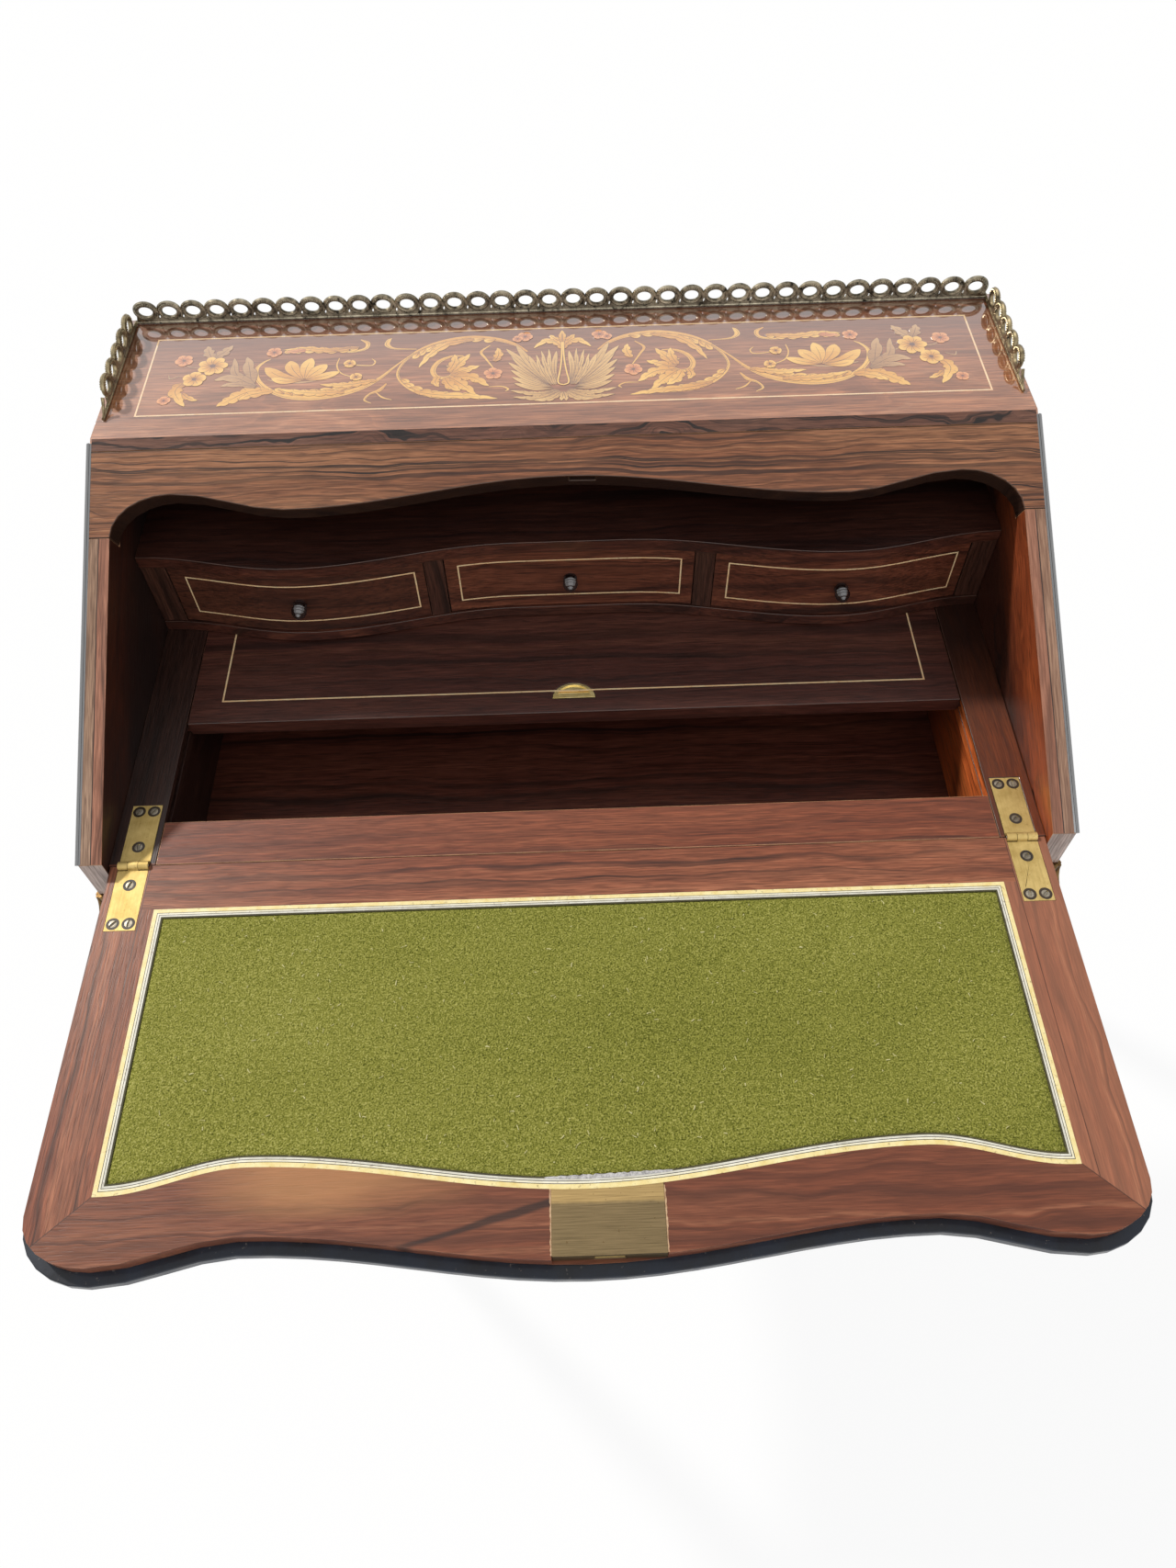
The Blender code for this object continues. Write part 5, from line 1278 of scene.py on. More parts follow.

# Well: a shallow trough under the writing level, with a floor and walls of plain rosewood.
# The side walls are the lid's runners, grooved along their inner faces and glued in place;
# the right one is painted bright orange as sunlight on it, with painted shade on its top and
# towards its back, and the front ends of both are brown.
RUNNER_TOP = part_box("right_well_side")[1][2]
RUNNER_SHADOW_FROM, RUNNER_SHADOW_TO = HINGE_Y + 0.09, HINGE_Y + 0.19
END_FROM, END_TO = HINGE_Y + 0.002, HINGE_Y + 0.0015
floor_wood = rosewood("well_floor_rosewood", along(LEVEL_ACROSS, (0.5, 0.12, -0.58)),
                      (90, 47, 36), (45, 24, 19), (110, 62, 46), lines=0.3)
runner_wood = rosewood("runner_rosewood", along(LEVEL_BACK, (0.3, 0.24, -0.67)),
                       (46, 28, 23), (24, 15, 13), (60, 37, 29))
# Painted light: the right runner is a bright orange copy of the runner wood, standing in for
# sunlight on it.
lit_runner_wood = rosewood("right_runner_sunlit_rosewood", along(LEVEL_BACK, (0.5, 0.24, -0.67)),
                           (204, 96, 46), (98, 43, 21), (232, 126, 62), lines=0.7)
# Painted shade: its top face is darker than the sunlit inner face, and it fades to painted shadow
# towards the back.
stained(lit_runner_wood, fading(UPWARD, RUNNER_TOP - 2 * SKIN, RUNNER_TOP - SKIN, 0.0, 0.85),
        (64, 29, 15))
stained(lit_runner_wood, fading(BACKWARD, RUNNER_SHADOW_FROM, RUNNER_SHADOW_TO, 0.0, 0.85),
        (24, 15, 13))
for finish in (runner_wood, lit_runner_wood):
    stained(finish, fading(BACKWARD, END_FROM, END_TO, 0.0, 0.9), (112, 62, 44))
dress("well_floor", floor_wood)
dress("left_well_side", runner_wood, dark_rubbed, 0.0005)
dress("right_well_side", lit_runner_wood, dark_rubbed, 0.0005)

# Front board: a wide rosewood rail across the front of the well, on the writing level.
# It is glued in between the runners, and the open fall closes its joint against it.
front_wood = rosewood("front_board_rosewood", along(LEVEL_ACROSS, (0.1, 0.24, -0.65)),
                      (124, 65, 43), (86, 43, 29), (150, 88, 61), rings=140.0, lines=0.8)
dress("front_board", front_wood, RUBBED)

# Well lid: a rosewood board that slides on tongues in the grooves of the runners.
# A boxwood string is let in along its front and sides, and a half-moon of brass is let into
# its front edge as a pull.
LID_STRING_X, LID_STRING_FRONT, LID_STRING_BACK = 0.2815, 0.152, 0.338
LID_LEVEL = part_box("well_lid")[1][2] - HINGE_Z


def lid_line(grow):
    """The string's line along the sides and front of the lid, moved out by grow."""
    side, front = LID_STRING_X + grow, LID_STRING_FRONT - grow
    corners = ((-side, LID_STRING_BACK), (-side, front), (side, front), (side, LID_STRING_BACK))
    return [at(x, y, LID_LEVEL) for x, y in corners]


lid_wood = rosewood("lid_rosewood", along(LEVEL_ACROSS, (0.45, -0.02, -0.64)),
                    (80, 44, 36), (50, 27, 22), (96, 57, 45), lines=0.4)
dress("well_lid", lid_wood, dark_rubbed)
lid_lines = (lid_line(STRING_WIDTH / 2), lid_line(-STRING_WIDTH / 2))
made("well_lid_string", *slip(*lid_lines, UP, STRING_LIFT, STRING_DEPTH), drawer_string_wood,
     "well_lid", "dark_rosewood")
pull_brass = brass("pull_brass", (128, 104, 56), (206, 182, 112), (240, 222, 164),
                   0.32, 0.64, 300.0)
dress("well_lid_pull", pull_brass, arris=0.0002)

# Hinges: pairs of flat brass leaves let in flush across the joint of the fall.
# Their knuckles turn on steel pins.
hinge_brass = brass("hinge_brass", (118, 92, 50), (170, 146, 88), (206, 183, 124),
                    0.64, 0.62, 260.0, (900, 40, 400))
steel = brass("pin_steel", (70, 66, 60), (150, 146, 138), (206, 202, 194), 0.28, 0.66, 500.0)
for label, side in HANDS:
    dress(label + "_hinge_case_leaf", hinge_brass, arris=0.00025)
    dress(label + "_hinge_fall_leaf", hinge_brass, arris=0.00025)
    dress(label + "_hinge_pin", steel, arris=0.0002)

# Hinge screws: slotted steel screws with countersunk heads, three to each leaf, drawn down
# flush with the brass.  A dark ring is painted round each head as the shadow in its countersink.
LEAF_X = 0.3215
SCREWS = ((-0.0055, 0.047), (0.0055, 0.047), (0.0, 0.016))
SCREW_TURNS = (0.7, 2.2)
SCREW_STEPS = 14
SCREW_HEAD = 0.0041
SCREW_SLOT = 0.0011
SLOT_WALL = 0.0006
RIM_LEVEL, SHOULDER_LEVEL, FOOT_LEVEL = -0.00028, -0.00008, -0.0013
SHOULDER_SHARE, FOOT_SHARE = 0.86, 0.75
SCREW_DOME = 0.00012
BED_SIDES = 18
BED_TOP, BED_FOOT, BED_LEVEL = 0.0030, 0.0026, -0.0008
SHADOW_RING_SIDES = 24
SHADOW_RING_OUT, SHADOW_RING_IN = 0.0006, 0.0012
SHADOW_RING_LIFT, SHADOW_RING_DEPTH = 0.00004, 0.0004


def screw(x, y, turn):
    """A domed head cut in two halves by its slot, on a floor that closes the slot's bottom."""
    cosine, sine = math.cos(turn), math.sin(turn)

    def put(u, v, w):
        return at(x + u * cosine - v * sine, y + u * sine + v * cosine, w)

    parts = []
    lean = math.asin(SCREW_SLOT / 2 / SCREW_HEAD)
    count = SCREW_STEPS + 1
    for flip in (0, math.pi):
        rim = [lean + (math.pi - 2 * lean) * k / SCREW_STEPS + flip for k in range(count)]
        outer = [(math.cos(a) * SCREW_HEAD, math.sin(a) * SCREW_HEAD) for a in rim]
        heart = math.copysign(SCREW_SLOT / 2 + SLOT_WALL, outer[count // 2][1])
        points = []
        for share, level in ((1.0, RIM_LEVEL), (SHOULDER_SHARE, SHOULDER_LEVEL),
                             (FOOT_SHARE, FOOT_LEVEL)):
            points += [put(u * share, v * share + heart * (1 - share), level) for u, v in outer]
        points.append(put(0, heart, SHOULDER_LEVEL + SCREW_DOME))
        foot, top = 2 * count, 3 * count
        faces = []
        for k in range(SCREW_STEPS):
            faces.append([k, k + 1, count + k + 1, count + k])
            faces.append([count + k, count + k + 1, top])
            faces.append([foot + k, foot + k + 1, k + 1, k])
        faces.append([0, count, top, foot - 1, count - 1, top - 1, foot])
        faces.append([foot + k for k in range(count)][::-1])
        parts.append((points, faces))
    bed = [put(u, v, BED_LEVEL) for u, v in circle(BED_SIDES, BED_TOP)]
    bed += [put(u, v, FOOT_LEVEL) for u, v in circle(BED_SIDES, BED_FOOT)]
    faces = [list(range(BED_SIDES)), list(range(BED_SIDES, 2 * BED_SIDES))[::-1]]
    for k in range(BED_SIDES):
        n = (k + 1) % BED_SIDES
        faces.append([k, n, BED_SIDES + n, BED_SIDES + k])
    parts.append((bed, faces))
    return gathered(parts)


def screw_shadow_ring(x, y):
    """A dark ring painted in the countersink round a head, as the shadow in its gap."""
    rings = [[at(x + u, y + v, 0) for u, v in circle(SHADOW_RING_SIDES, radius)]
             for radius in (SCREW_HEAD + SHADOW_RING_OUT, SCREW_HEAD - SHADOW_RING_IN)]
    return slip(*rings, UP, SHADOW_RING_LIFT, SHADOW_RING_DEPTH, loop=True)


screw_steel = brass("screw_steel", (58, 52, 44), (118, 110, 96), (168, 160, 144), 0.5, 0.6, 700.0)
# Painted shadow: a dark ring laid in the countersink round each screw head.
rim_shadow = ebonised("countersink_painted_shadow", (36, 27, 18), (62, 48, 32), (98, 76, 44))
screw_turns = random.Random(7)
for label, side in HANDS:
    for body, way in (("case", 1), ("fall", -1)):
        places = [(side * LEAF_X + u, way * v) for u, v in SCREWS]
        heads = [screw(x, y, screw_turns.uniform(*SCREW_TURNS)) for x, y in places]
        shadow_rings = [screw_shadow_ring(x, y) for x, y in places]
        hinge = label + "_hinge_" + body
        made(hinge + "_screws", *gathered(heads), screw_steel, body, "steel", smooth=True)
        made(hinge + "_shadow_rings", *gathered(shadow_rings), rim_shadow, body, "brass")

# Fall: a rosewood board framed in strips, the front and rear strips running across and the
# side strips along.  Its front corners are mitred, and a fine joint runs down beside each hinge.
# The front strip holds a length of sapwood and a dark streak that climbs to the lock.
BORDER_X = 0.300
JOINT_X = 0.309
REAR_STRIP = 0.0366
MITRE_START = 0.233
MITRE_SLOPE = 0.92
MITRE_LINE, JOINT_LINE = 0.00045, 0.0003
STRIP_LAP = 0.04
SAPWOOD_LEFT, SAPWOOD_RIGHT = (-0.25, -0.19), (-0.06, -0.14)
SAPWOOD_FRONT, SAPWOOD_REAR = (0.252, 0.234), 0.2
SAPWOOD_WAVER = 0.02
STREAK_LEFT, STREAK_RIGHT = (-0.16, -0.10), -0.02
STREAK_SLOPE, STREAK_START = -0.27, 0.2385
STREAK_SWELLS, STREAK_HALF = (-0.15, -0.02), (0.0008, 0.0022)
STREAK_EDGE = (0.001, -0.0006)
STREAK_WAVER = 0.007


def down_the_fall(tree, spot):
    """How far a place on the open fall lies in front of the hinge line."""
    return calc(tree, "MULTIPLY_ADD", apart(tree, spot)[BACKWARD], -1.0, HINGE_Y)


def fall_zones(tree, spot):
    """One on the side strips and nought on the rest, and one on the joints between them."""
    out = calc(tree, "ABSOLUTE", apart(tree, spot)[ACROSS])
    down = down_the_fall(tree, spot)
    past_border = calc(tree, "GREATER_THAN", out, BORDER_X)
    past_joint = calc(tree, "GREATER_THAN", out, JOINT_X)
    below_rear = calc(tree, "GREATER_THAN", down, REAR_STRIP)
    slope = product(tree, calc(tree, "SUBTRACT", out, BORDER_X), MITRE_SLOPE)
    mitre = calc(tree, "SUBTRACT", slope, calc(tree, "SUBTRACT", down, MITRE_START))
    behind = calc(tree, "GREATER_THAN", mitre, 0.0)
    side = calc(tree, "MAXIMUM", past_joint, product(tree, past_border, below_rear))
    mitre_line = product(tree, calc(tree, "COMPARE", mitre, 0.0, MITRE_LINE), past_border)
    side_line = product(tree, calc(tree, "COMPARE", out, JOINT_X, JOINT_LINE), behind)
    return product(tree, side, behind), calc(tree, "MAXIMUM", mitre_line, side_line)


def fall_lay(tree, spot):
    """The grain runs across the front and rear strips and along the side strips."""
    side, _ = fall_zones(tree, spot)
    level = along(LEVEL_ACROSS, (0.2, 0.42, -0.66))(tree, spot)
    back = along(LEVEL_BACK, (0.3, 0.42, -0.67))(tree, spot)
    return chosen(tree, side, level, back)


def wavering(tree, spot, amount):
    """The distance down the fall, made to waver by an amount as grain does."""
    drift = strands(tree, spot, (14, 60, 14))
    return varied(tree, drift, amount, down_the_fall(tree, spot))


def golden_patch(tree, spot):
    """A length of paler sapwood in the front strip, left of the lock."""
    across = apart(tree, spot)[ACROSS]
    length = product(tree, ranged(tree, across, *SAPWOOD_LEFT),
                     ranged(tree, across, *SAPWOOD_RIGHT))
    down = wavering(tree, spot, SAPWOOD_WAVER)
    near = product(tree, ranged(tree, down, *SAPWOOD_FRONT),
                   calc(tree, "GREATER_THAN", down, SAPWOOD_REAR))
    return product(tree, length, near, 0.6)


def dark_streak(tree, spot):
    """A dark mineral streak that climbs the front strip to the lock plate."""
    across = apart(tree, spot)[ACROSS]
    course = calc(tree, "MULTIPLY_ADD", across, STREAK_SLOPE, STREAK_START)
    near = calc(tree, "ABSOLUTE",
                calc(tree, "SUBTRACT", wavering(tree, spot, STREAK_WAVER), course))
    beyond = calc(tree, "SUBTRACT", near, ranged(tree, across, *STREAK_SWELLS, *STREAK_HALF))
    length = product(tree, ranged(tree, across, *STREAK_LEFT),
                     calc(tree, "LESS_THAN", across, STREAK_RIGHT))
    return product(tree, length, ranged(tree, beyond, *STREAK_EDGE, 0.0, 0.85))


def front_strip(tree, spot):
    """The front strip, cut from a darker leaf than the rest."""
    side, _ = fall_zones(tree, spot)
    low = calc(tree, "LESS_THAN", apart(tree, spot)[BACKWARD], HINGE_Y - MITRE_START + STRIP_LAP)
    return product(tree, low, calc(tree, "SUBTRACT", 1.0, side), 0.45)


def right_strip(tree, spot):
    """The right strip, cut from a paler leaf."""
    side, _ = fall_zones(tree, spot)
    return product(tree, side, calc(tree, "GREATER_THAN", apart(tree, spot)[ACROSS], 0.0), 0.42)


def strip_joints(tree, spot):
    """The dark joints between the strips."""
    return product(tree, fall_zones(tree, spot)[1], 0.75)


fall_wood = rosewood("fall_rosewood", fall_lay, (134, 75, 52), (94, 51, 36), (168, 109, 80),
                     rings=130.0, wave=10.0, lines=0.75, polish=0.12, polish_rough=0.2)
stained(fall_wood, front_strip, (96, 54, 38))
stained(fall_wood, right_strip, (178, 122, 96))
stained(fall_wood, golden_patch, (196, 142, 94))
stained(fall_wood, dark_streak, (46, 30, 25))
stained(fall_wood, strip_joints, (58, 36, 28))
dress("fall_board", fall_wood, RUBBED, 0.0004)

# Fall moulding: an ebonised lip planted round the front and sides of the fall, to close over
# the frame.  It is glued to the edge and dulled by handling.
lip_black = ebonised("lip_black", (11, 15, 24), (34, 42, 56), (104, 98, 94), (0.3, 0.5))
dress("fall_edge_moulding", lip_black, arris=0.0008)

# Stringing of the fall: a mitred frame of thin woods let in round the velvet.
# From outside it runs boxwood, black, holly, black, holly and the dark cut edge of the velvet.
HUMP, DIP, SHOULDER = 0.280, 0.2605, 0.2752
DIP_X, SHOULDER_X = 0.209, 0.296
VELVET_X, VELVET_REAR, VELVET_FRONT_BORDER = 0.2935, 0.0431, 0.0485
BAND_EDGES = (0.0065, 0.0036, 0.0032, 0.0020, 0.0016, 0.0004, -0.0008)
FRONT_STEPS = 120


def eased(first, last, share):
    """A value that leaves first and arrives at last gently, as the share goes from 0 to 1."""
    share = max(0.0, min(1.0, share))
    return first + (last - first) * (1 - math.cos(math.pi * share)) / 2


def front_reach(x):
    """Distance from the hinge line to the serpentine edge of the fall's opening."""
    x = abs(x)
    if x < DIP_X:
        return eased(HUMP, DIP, x / DIP_X)
    return eased(DIP, SHOULDER, (x - DIP_X) / (SHOULDER_X - DIP_X))


def velvet_front(x):
    """Distance from the hinge line to the front edge of the velvet."""
    return front_reach(x) - VELVET_FRONT_BORDER


def frame_loop(grow):
    """The line round the velvet, moved out by grow."""
    side = VELVET_X + grow
    front = [side - 2 * side * k / FRONT_STEPS for k in range(FRONT_STEPS + 1)]
    loop = [(-side, -VELVET_REAR + grow), (side, -VELVET_REAR + grow)]
    return [at(x, y, 0) for x, y in loop + [(x, -velvet_front(x) - grow) for x in front]]


black_string = ebonised("string_black", (22, 20, 18), (52, 48, 44), (96, 86, 70))
velvet_edge = ebonised("velvet_edge", (52, 48, 26), (84, 80, 48), (128, 124, 88), (0.6, 0.8))
BANDS = (
    ("fall_boxwood_band", string_wood("band_boxwood", (240, 214, 136), (254, 240, 182))),
    ("fall_outer_black_line", black_string),
    ("fall_white_band", string_wood("band_holly", (236, 228, 196), (252, 248, 228))),
    ("fall_inner_black_line", black_string),
    ("fall_white_line", string_wood("line_holly", (206, 202, 186), (236, 234, 222))),
    ("fall_velvet_line", velvet_edge))
for (name, finish), outer, inner in zip(BANDS, BAND_EDGES, BAND_EDGES[1:]):
    loops = (frame_loop(outer), frame_loop(inner))
    made(name, *slip(*loops, UP, STRING_LIFT, STRING_DEPTH, loop=True), finish, "fall", "rosewood")

# Writing velvet: olive cotton velvet cut to the fall's curve and glued into its recess, its
# pile brushed and linty.  Its front edge has lifted and frayed beside the lock, where old
# white glue shows.
PILE = 0.0004
VELVET_ROWS, VELVET_COLUMNS = 62, 196
VELVET_TUCK = -0.0009
edge_gap = 0.0006
FRAY_LEFT, FRAY_RIGHT = -0.026, 0.052
FRAY_DEPTH = 0.0024
LINT_COUNT = 260
LINT_STEPS = 5
LINT_SIDE, LINT_REAR, LINT_FRONT = 0.006, 0.005, 0.008
LINT_BEND = (-1.2, 1.2)
LINT_LENGTH, LINT_WIDTH = (0.0008, 0.0034), (0.00014, 0.00034)
LINT_LIFT = 0.0003
LINT_FACE, LINT_SUNK = 0.0001, 0.0003
GLUE_STEPS = 40
GLUE_PAST, GLUE_UNDER = 0.0006, 0.0002
GLUE_FRONT_LEVEL, GLUE_REAR_LEVEL = -0.0002, -0.0003
GLUE_HALF = 0.0005


def frayed(x):
    """How far the velvet has drawn back from its front line."""
    share = (x - FRAY_LEFT) / (FRAY_RIGHT - FRAY_LEFT)
    if not 0 < share < 1:
        return 0.0
    ragged = 0.75 + 0.25 * math.sin(310 * x) * math.sin(1170 * x + 1)
    return FRAY_DEPTH * math.sin(math.pi * share) ** 0.6 * ragged


def pile_height(x, y):
    """The nap's gentle unevenness."""
    swell = math.sin(41 * x + 3 * math.sin(29 * y)) * math.sin(37 * y + 2 * math.sin(23 * x))
    crush = math.sin(173 * x + 2 * math.sin(90 * y)) * math.sin(151 * y)
    return PILE * (1 + 0.25 * swell + 0.15 * crush)


def velvet_cloth():
    """The velvet as one sheet, its rim tucked down into the recess."""
    points, faces = [], []
    side, rear = VELVET_X - edge_gap, VELVET_REAR + edge_gap
    for row in range(VELVET_ROWS + 1):
        for column in range(VELVET_COLUMNS + 1):
            x = -side + 2 * side * column / VELVET_COLUMNS
            low = velvet_front(x) - frayed(x) - edge_gap
            y = -rear + (rear - low) * row / VELVET_ROWS
            rim = row in (0, VELVET_ROWS) or column in (0, VELVET_COLUMNS)
            points.append(at(x, y, VELVET_TUCK if rim else pile_height(x, y)))
    width = VELVET_COLUMNS + 1
    for row in range(VELVET_ROWS):
        for k in range(row * width, row * width + VELVET_COLUMNS):
            faces.append([k, k + width, k + width + 1, k + 1])
    return points, faces


def velvet_finish():
    """Olive pile: tufts that catch and lose the light, brushed patches, pale tips, dark gaps."""
    finish, tree, shader, spot = new_finish(
        "olive_velvet", Roughness=0.9, Specular_IOR_Level=0.15, Sheen_Weight=0.2,
        Sheen_Roughness=0.5, Sheen_Tint=tone(206, 206, 120))
    tuft = speckle(tree, spot, 900.0, 2.0, 0.6)
    clump = speckle(tree, spot, 330.0, 2.0, 0.6)
    brushed = strands(tree, spot, (7, 11, 7), 4.0, 0.6)
    mixed = varied(tree, brushed, 0.14, varied(tree, clump, 0.3, tuft))
    worn = fading(ACROSS, -VELVET_X, 0.05, 0.05, 0.0)(tree, spot)
    mixed = calc(tree, "ADD", mixed, worn)
    colour = ramp(tree, mixed, (0.28, (70, 74, 16)), (0.43, (118, 121, 47)),
                  (0.57, (151, 150, 68)), (0.74, (194, 190, 112)))
    laid_on(tree, shader, colour, None, mixed, 1.0, 0.0013)
    return finish


def pale_bits(name, low, high):
    """Chalky white glue or lint, dull and uneven."""
    finish, tree, shader, spot = new_finish(name, Specular_IOR_Level=0.2)
    chalk = speckle(tree, spot, 500.0, 4.0, 0.7)
    laid_on(tree, shader, ramp(tree, chalk, (0.35, low), (0.62, high)),
            spread_over(tree, chalk, 0.7, 0.95), chalk, 0.4, 0.0004)
    return finish


velvet = made("writing_velvet_pile", *velvet_cloth(), velvet_finish(), "fall", "green_velvet",
              smooth=True)
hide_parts("writing_velvet")

chance = random.Random(19)
lint_parts = []
for k in range(LINT_COUNT):
    x = chance.uniform(-VELVET_X + LINT_SIDE, VELVET_X - LINT_SIDE)
    y = -chance.uniform(VELVET_REAR + LINT_REAR, velvet_front(x) - LINT_FRONT)
    turn, bend = chance.uniform(0, math.pi), chance.uniform(*LINT_BEND)
    length, width = chance.uniform(*LINT_LENGTH), chance.uniform(*LINT_WIDTH)
    line = []
    for step in range(LINT_STEPS + 1):
        way = turn + bend * step / LINT_STEPS
        last = line[-1] if line else Vector((x, y))
        line.append(last + Vector((math.cos(way), math.sin(way))) * length / LINT_STEPS)
    halves = [width] * len(line)
    bed = pile_height(x, y) + LINT_LIFT
    edges = [[at(p.x, p.y, bed) for p in edge] for edge in edges_of(line, (halves, halves))]
    lint_parts.append(slip(*edges, UP, LINT_FACE, LINT_SUNK))
lint = made("velvet_lint", *gathered(lint_parts),
            pale_bits("pale_lint", (172, 168, 100), (224, 218, 164)), "fall", "green_velvet")

glue_x = [FRAY_LEFT + (FRAY_RIGHT - FRAY_LEFT) * k / GLUE_STEPS for k in range(GLUE_STEPS + 1)]
glue_edges = [
    [at(x, -velvet_front(x) - GLUE_PAST, GLUE_FRONT_LEVEL) for x in glue_x],
    [at(x, -velvet_front(x) + frayed(x) + GLUE_UNDER, GLUE_REAR_LEVEL) for x in glue_x]]
made("white_glue", *slip(*glue_edges, UP, GLUE_HALF, GLUE_HALF),
     pale_bits("old_glue", (150, 148, 148), (214, 212, 212)), "fall", "green_velvet")

# Lock: a flat brass plate let into the front strip over the lock's case, its bolt shooting
# from the front edge.  Pale filler shows where the wood was cut for the plate, and a brass
# escutcheon guards the keyhole on the outer face.
PLATE_LEFT, PLATE_RIGHT = -0.022, 0.046
PLATE_REAR, PLATE_FRONT = 0.2372, 0.2755
BRIGHT_UP_TO, DULL_FROM = 0.2465, 0.2485
FILLER = 0.0010
FILLER_STEPS = 24
FILLER_NEAR, FILLER_FAR = 0.0001, 0.0003
FILLER_RAGGED = (0.35, 1.0)
FILLER_LIFT, FILLER_DEPTH = 0.00008, 0.0006


def plate_brass():
    """Dull brown lock brass, brighter along its rear where the polishing cloth reached."""
    finish, tree, shader, spot = new_finish("plate_brass", Metallic=1.0)
    rub = strands(tree, spot, (35, 1600, 400), 3.0, 0.65)
    cloud = speckle(tree, spot, 70.0, 4.0, 0.6)
    ragged = calc(tree, "MULTIPLY_ADD", cloud, 0.003, down_the_fall(tree, spot))
    bright = ranged(tree, ragged, BRIGHT_UP_TO, DULL_FROM, 1.0, 0.0)
    dull = ramp(tree, rub, (0.3, (100, 86, 62)), (0.7, (130, 112, 82)))
    clear = ramp(tree, rub, (0.3, (142, 119, 79)), (0.7, (174, 148, 101)))
    pitted = above(tree, speckle(tree, spot, 420.0), 0.70, 0.76)
    colour = blended(tree, product(tree, pitted, 0.6), blended(tree, bright, dull, clear),
                     (90, 68, 40))
    laid_on(tree, shader, colour, spread_over(tree, rub, 0.4, 0.56), rub, 0.08, 0.0002)
    return finish


dress("lock_plate", plate_brass(), arris=0.0002)
dress("key_escutcheon", hinge_brass, arris=0.0003)
dress("lock_case", steel, arris=0.0003)
dress("lock_bolt", hinge_brass, arris=0.0003)
filler_parts = []
chance = random.Random(5)
plate_run = PLATE_FRONT - PLATE_REAR
for edge, way in ((PLATE_LEFT, -1), (PLATE_RIGHT, 1)):
    down = [PLATE_REAR + plate_run * k / FILLER_STEPS for k in range(FILLER_STEPS + 1)]
    near = [at(edge + way * FILLER_NEAR, -d, 0) for d in down]
    far = [at(edge + way * (FILLER_FAR + FILLER * chance.uniform(*FILLER_RAGGED)), -d, 0)
           for d in down]
    filler_parts.append(slip(near, far, UP, FILLER_LIFT, FILLER_DEPTH))
made("lock_plate_filler", *gathered(filler_parts),
     pale_bits("cut_edge_filler", (176, 138, 104), (214, 182, 146)), "fall", "rosewood")

# Legs: four cabriole legs of solid rosewood, sawn to shape and housed into the corners of the
# case.  The grain runs down them, and their corners are rounded over with a file.
LEG_ROUND = 0.003
CORNERS = [(end + "_" + label, side, end == "front")
           for end in ("front", "back") for label, side in HANDS]
leg_wood = rosewood("leg_rosewood", along(UPRIGHT, (0.1, 0.12, 0.42)),
                    (122, 74, 54), (60, 34, 26), (152, 98, 72))
for corner, _, _ in CORNERS:
    dress(corner + "_leg", leg_wood, arris=LEG_ROUND)

# Corner mounts: cast bronze acanthus leaves folded round the front corners and pinned, veined
# and lobed by the chaser.  Their grooves have blackened and their ridges are rubbed.
LEG_HEAD, KNEE, ANKLE, TOE = -0.1183, -0.1733, -0.630, -0.715
KNEE_OUT, ANKLE_OUT, TOE_OUT = 0.012, -0.012, 0.006
ANKLE_WIDTH, TOE_WIDTH = 0.021, 0.027
MOUNT_HEAD, MOUNT_BELLY, MOUNT_TAIL = -0.0302, -0.062, -0.2181
MOUNT_ARM, MOUNT_HEAD_ARM, MOUNT_TIP = 0.025, 0.009, 0.003
MOUNT_BULGE, MOUNT_EDGE, MOUNT_THINNEST = 0.0108, 0.0018, 0.0007
MOUNT_ROWS, MOUNT_COLUMNS = 110, 44
MOUNT_LOBES, MOUNT_WAIST = 7, 0.72
MOUNT_VEINS, SIDE_VEIN = 13, (0.16, 0.06)
MOUNT_RIB = 0.07
MOUNT_FOLD = 0.22
MOUNT_CUT, MOUNT_BLACK = 0.38, 0.8
CASE_GAP = 0.0003


def leg_out(z):
    """How far a leg stands out past the corner of the case at a level."""
    if z > LEG_HEAD:
        return 0.0
    if z > KNEE:
        return eased(0.0, KNEE_OUT, (LEG_HEAD - z) / (LEG_HEAD - KNEE))
    if z > ANKLE:
        return eased(KNEE_OUT, ANKLE_OUT, (KNEE - z) / (KNEE - ANKLE))
    return eased(ANKLE_OUT, TOE_OUT, (ANKLE - z) / (ANKLE - TOE))


def swelling(value, middle, spread):
    """One at the middle, falling away softly to both sides."""
    return math.exp(-((value - middle) / spread) ** 2)


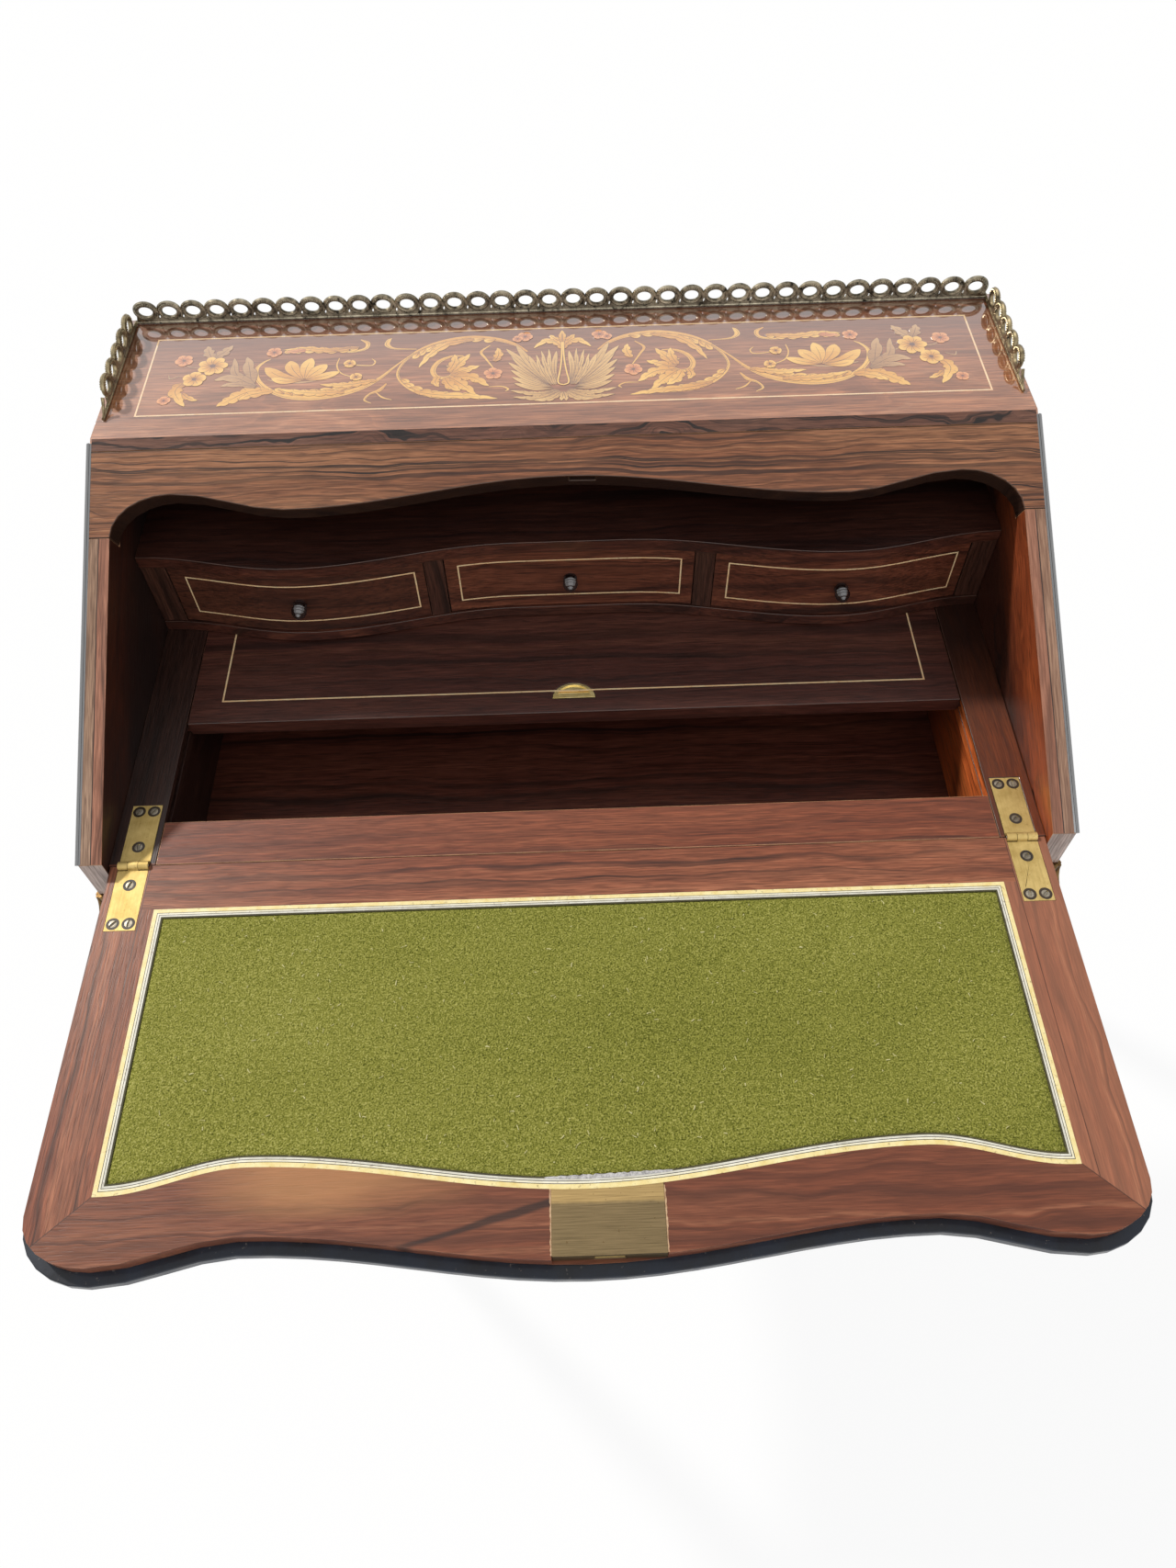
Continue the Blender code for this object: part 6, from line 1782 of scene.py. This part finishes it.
def mount_point(across, z, sunk):
    """A point of a mount, from arm's end to arm's end at a level, sunk from its face by a share."""
    if z > MOUNT_BELLY:
        share = (MOUNT_HEAD - z) / (MOUNT_HEAD - MOUNT_BELLY)
        arm, bulge = eased(MOUNT_HEAD_ARM, MOUNT_ARM, share), eased(MOUNT_TIP, MOUNT_BULGE, share)
    else:
        share = (MOUNT_BELLY - z) / (MOUNT_BELLY - MOUNT_TAIL)
        arm, bulge = eased(MOUNT_ARM, MOUNT_TIP, share), eased(MOUNT_BULGE, MOUNT_TIP, share)
    run = (MOUNT_HEAD - z) / (MOUNT_HEAD - MOUNT_TAIL)
    lobe = abs(math.sin(math.pi * MOUNT_LOBES * run + 0.5)) ** 0.6
    arm *= MOUNT_WAIST + (1 - MOUNT_WAIST) * lobe
    far = abs(across)
    veins = 0.5 + 0.5 * math.cos(2 * math.pi * (MOUNT_VEINS * run - 2.0 * far))
    rib = swelling(far, 0.0, MOUNT_RIB)
    groove = (1 - rib) * (0.55 * veins + 0.45 * swelling(far, *SIDE_VEIN))
    thick = MOUNT_EDGE + (bulge - MOUNT_EDGE) * max(0.0, 1 - far) ** 0.8
    thick = max(MOUNT_THINNEST, thick * (1 - MOUNT_CUT * groove)) * (1 - sunk)
    lean = math.pi / 4 - min(1.0, far / MOUNT_FOLD) * math.pi / 4
    start = arm * far if sunk else arm * max(0.0, far - MOUNT_FOLD) / (1 - MOUNT_FOLD)
    near, wide = thick * math.cos(lean), thick * math.sin(lean)
    out = leg_out(z) + CASE_GAP
    if across < 0:
        return SIDE_OUTER + out + wide - start, -FRONT_STEP - out - near, groove
    return SIDE_OUTER + out + near, -FRONT_STEP - out - wide + start, groove


def leaf_on(side):
    """Where each point of a mount lies on its own side of the desk, and how deep its groove is."""
    def place(down, across, sunk):
        z = MOUNT_HEAD + (MOUNT_TAIL - MOUNT_HEAD) * down
        x, y, groove = mount_point(2 * across - 1, z, sunk)
        return at(side * x, y, z), MOUNT_BLACK * groove
    return place


def shell(rows, columns, place, closed):
    """A thin casting: an outer and an inner skin joined round their edges, and its grooves."""
    points, faces, grooves = [], [], []
    width = columns if closed else columns + 1
    for sunk in (0.0, 1.0):
        for row in range(rows + 1):
            for column in range(width):
                point, groove = place(row / rows, column / columns, sunk)
                points.append(point)
                grooves.append(groove)
    other = width * (rows + 1)
    for column in range(columns):
        for row in range(rows + 1):
            k, n = row * width + column, row * width + (column + 1) % width
            if row < rows:
                skin = [k, n, n + width, k + width]
                faces += [skin, [other + corner for corner in skin[::-1]]]
            if row in (0, rows):
                faces.append([k, other + k, other + n, n])
    if not closed:
        for k in range(0, width * rows, width):
            for edge in (k, k + columns):
                faces.append([edge, other + edge, other + edge + width, edge + width])
    return points, faces, grooves


def cast(name, node, points, faces, grooves):
    """A bronze casting in place of a plain piece of the desk."""
    casting = made(name, points, faces, bronze, "case", "bronze", smooth=True)
    marked(casting, "groove", grooves)
    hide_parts(node)


def in_grooves(tree, spot):
    """How deep in a groove each place of a casting lies."""
    return fit(tree, "ShaderNodeAttribute", attribute_name="groove").outputs["Fac"]


bronze = brass("bronze", (28, 21, 15), (84, 62, 38), (148, 116, 72), 0.3, 0.58, 160.0,
               EVEN_RUBBING)
stained(bronze, in_grooves, (34, 27, 18))
for label, side in HANDS:
    cast("front_" + label + "_leaf_mount", "front_" + label + "_mount",
         *shell(MOUNT_ROWS, MOUNT_COLUMNS, leaf_on(side), False))

# Sabots: cast bronze shoes that sheathe the toes, slipped on from below and pinned.
# Each has a moulded foot below and a leafy collar above.
SABOT_TOP, SABOT_WALL = -0.667, 0.0025
SABOT_ROWS, SABOT_COLUMNS = 40, 96
SABOT_LEAVES, SABOT_NOTCH = 8, 0.007
SABOT_FOOT, SABOT_COLLAR = (0.10, 0.07), (0.36, 0.05)
FLUTE_FROM, FLUTE_RUN = 0.42, 0.18
TOE_CORNER = 4.5
PIN_HOLE = 0.0008
CASE_BACK = 0.432


def shoe_on(side, front):
    """Where each point of a shoe lies on its own toe, and how deep its groove is."""
    def place(up, turn, sunk):
        angle = 2 * math.pi * turn
        leaf = abs(math.cos(SABOT_LEAVES * angle / 2))
        z = TOE + (SABOT_TOP - SABOT_NOTCH * (1 - leaf) - TOE) * up
        width = eased(ANKLE_WIDTH, TOE_WIDTH, (ANKLE - z) / (ANKLE - TOE))
        foot, collar = swelling(up, *SABOT_FOOT), swelling(up, *SABOT_COLLAR)
        flute = (1 - leaf ** 0.5) * eased(0.0, 1.0, (up - FLUTE_FROM) / FLUTE_RUN)
        moulded = 0.55 + 0.4 * foot + 0.25 * collar + 0.2 * leaf * up - 0.5 * flute
        reach = width / 2 + CASE_GAP
        if not sunk:
            reach += SABOT_WALL * max(0.25, moulded)
        elif not up:
            reach = PIN_HOLE
        cosine, sine = math.cos(angle), math.sin(angle)
        reach /= (abs(cosine) ** TOE_CORNER + abs(sine) ** TOE_CORNER) ** (1 / TOE_CORNER)
        x = side * (SIDE_OUTER + leg_out(z) - width / 2)
        y = -FRONT_STEP - leg_out(z) + width / 2
        if not front:
            y = CASE_BACK - FRONT_STEP - y
        groove = min(0.85, flute + 0.5 * (1 - foot) * (1 - up) * (1 - collar))
        return at(x + reach * cosine, y + reach * sine, z), groove
    return place


for corner, side, front in CORNERS:
    cast(corner + "_leaf_sabot", corner + "_sabot",
         *shell(SABOT_ROWS, SABOT_COLUMNS, shoe_on(side, front), True))
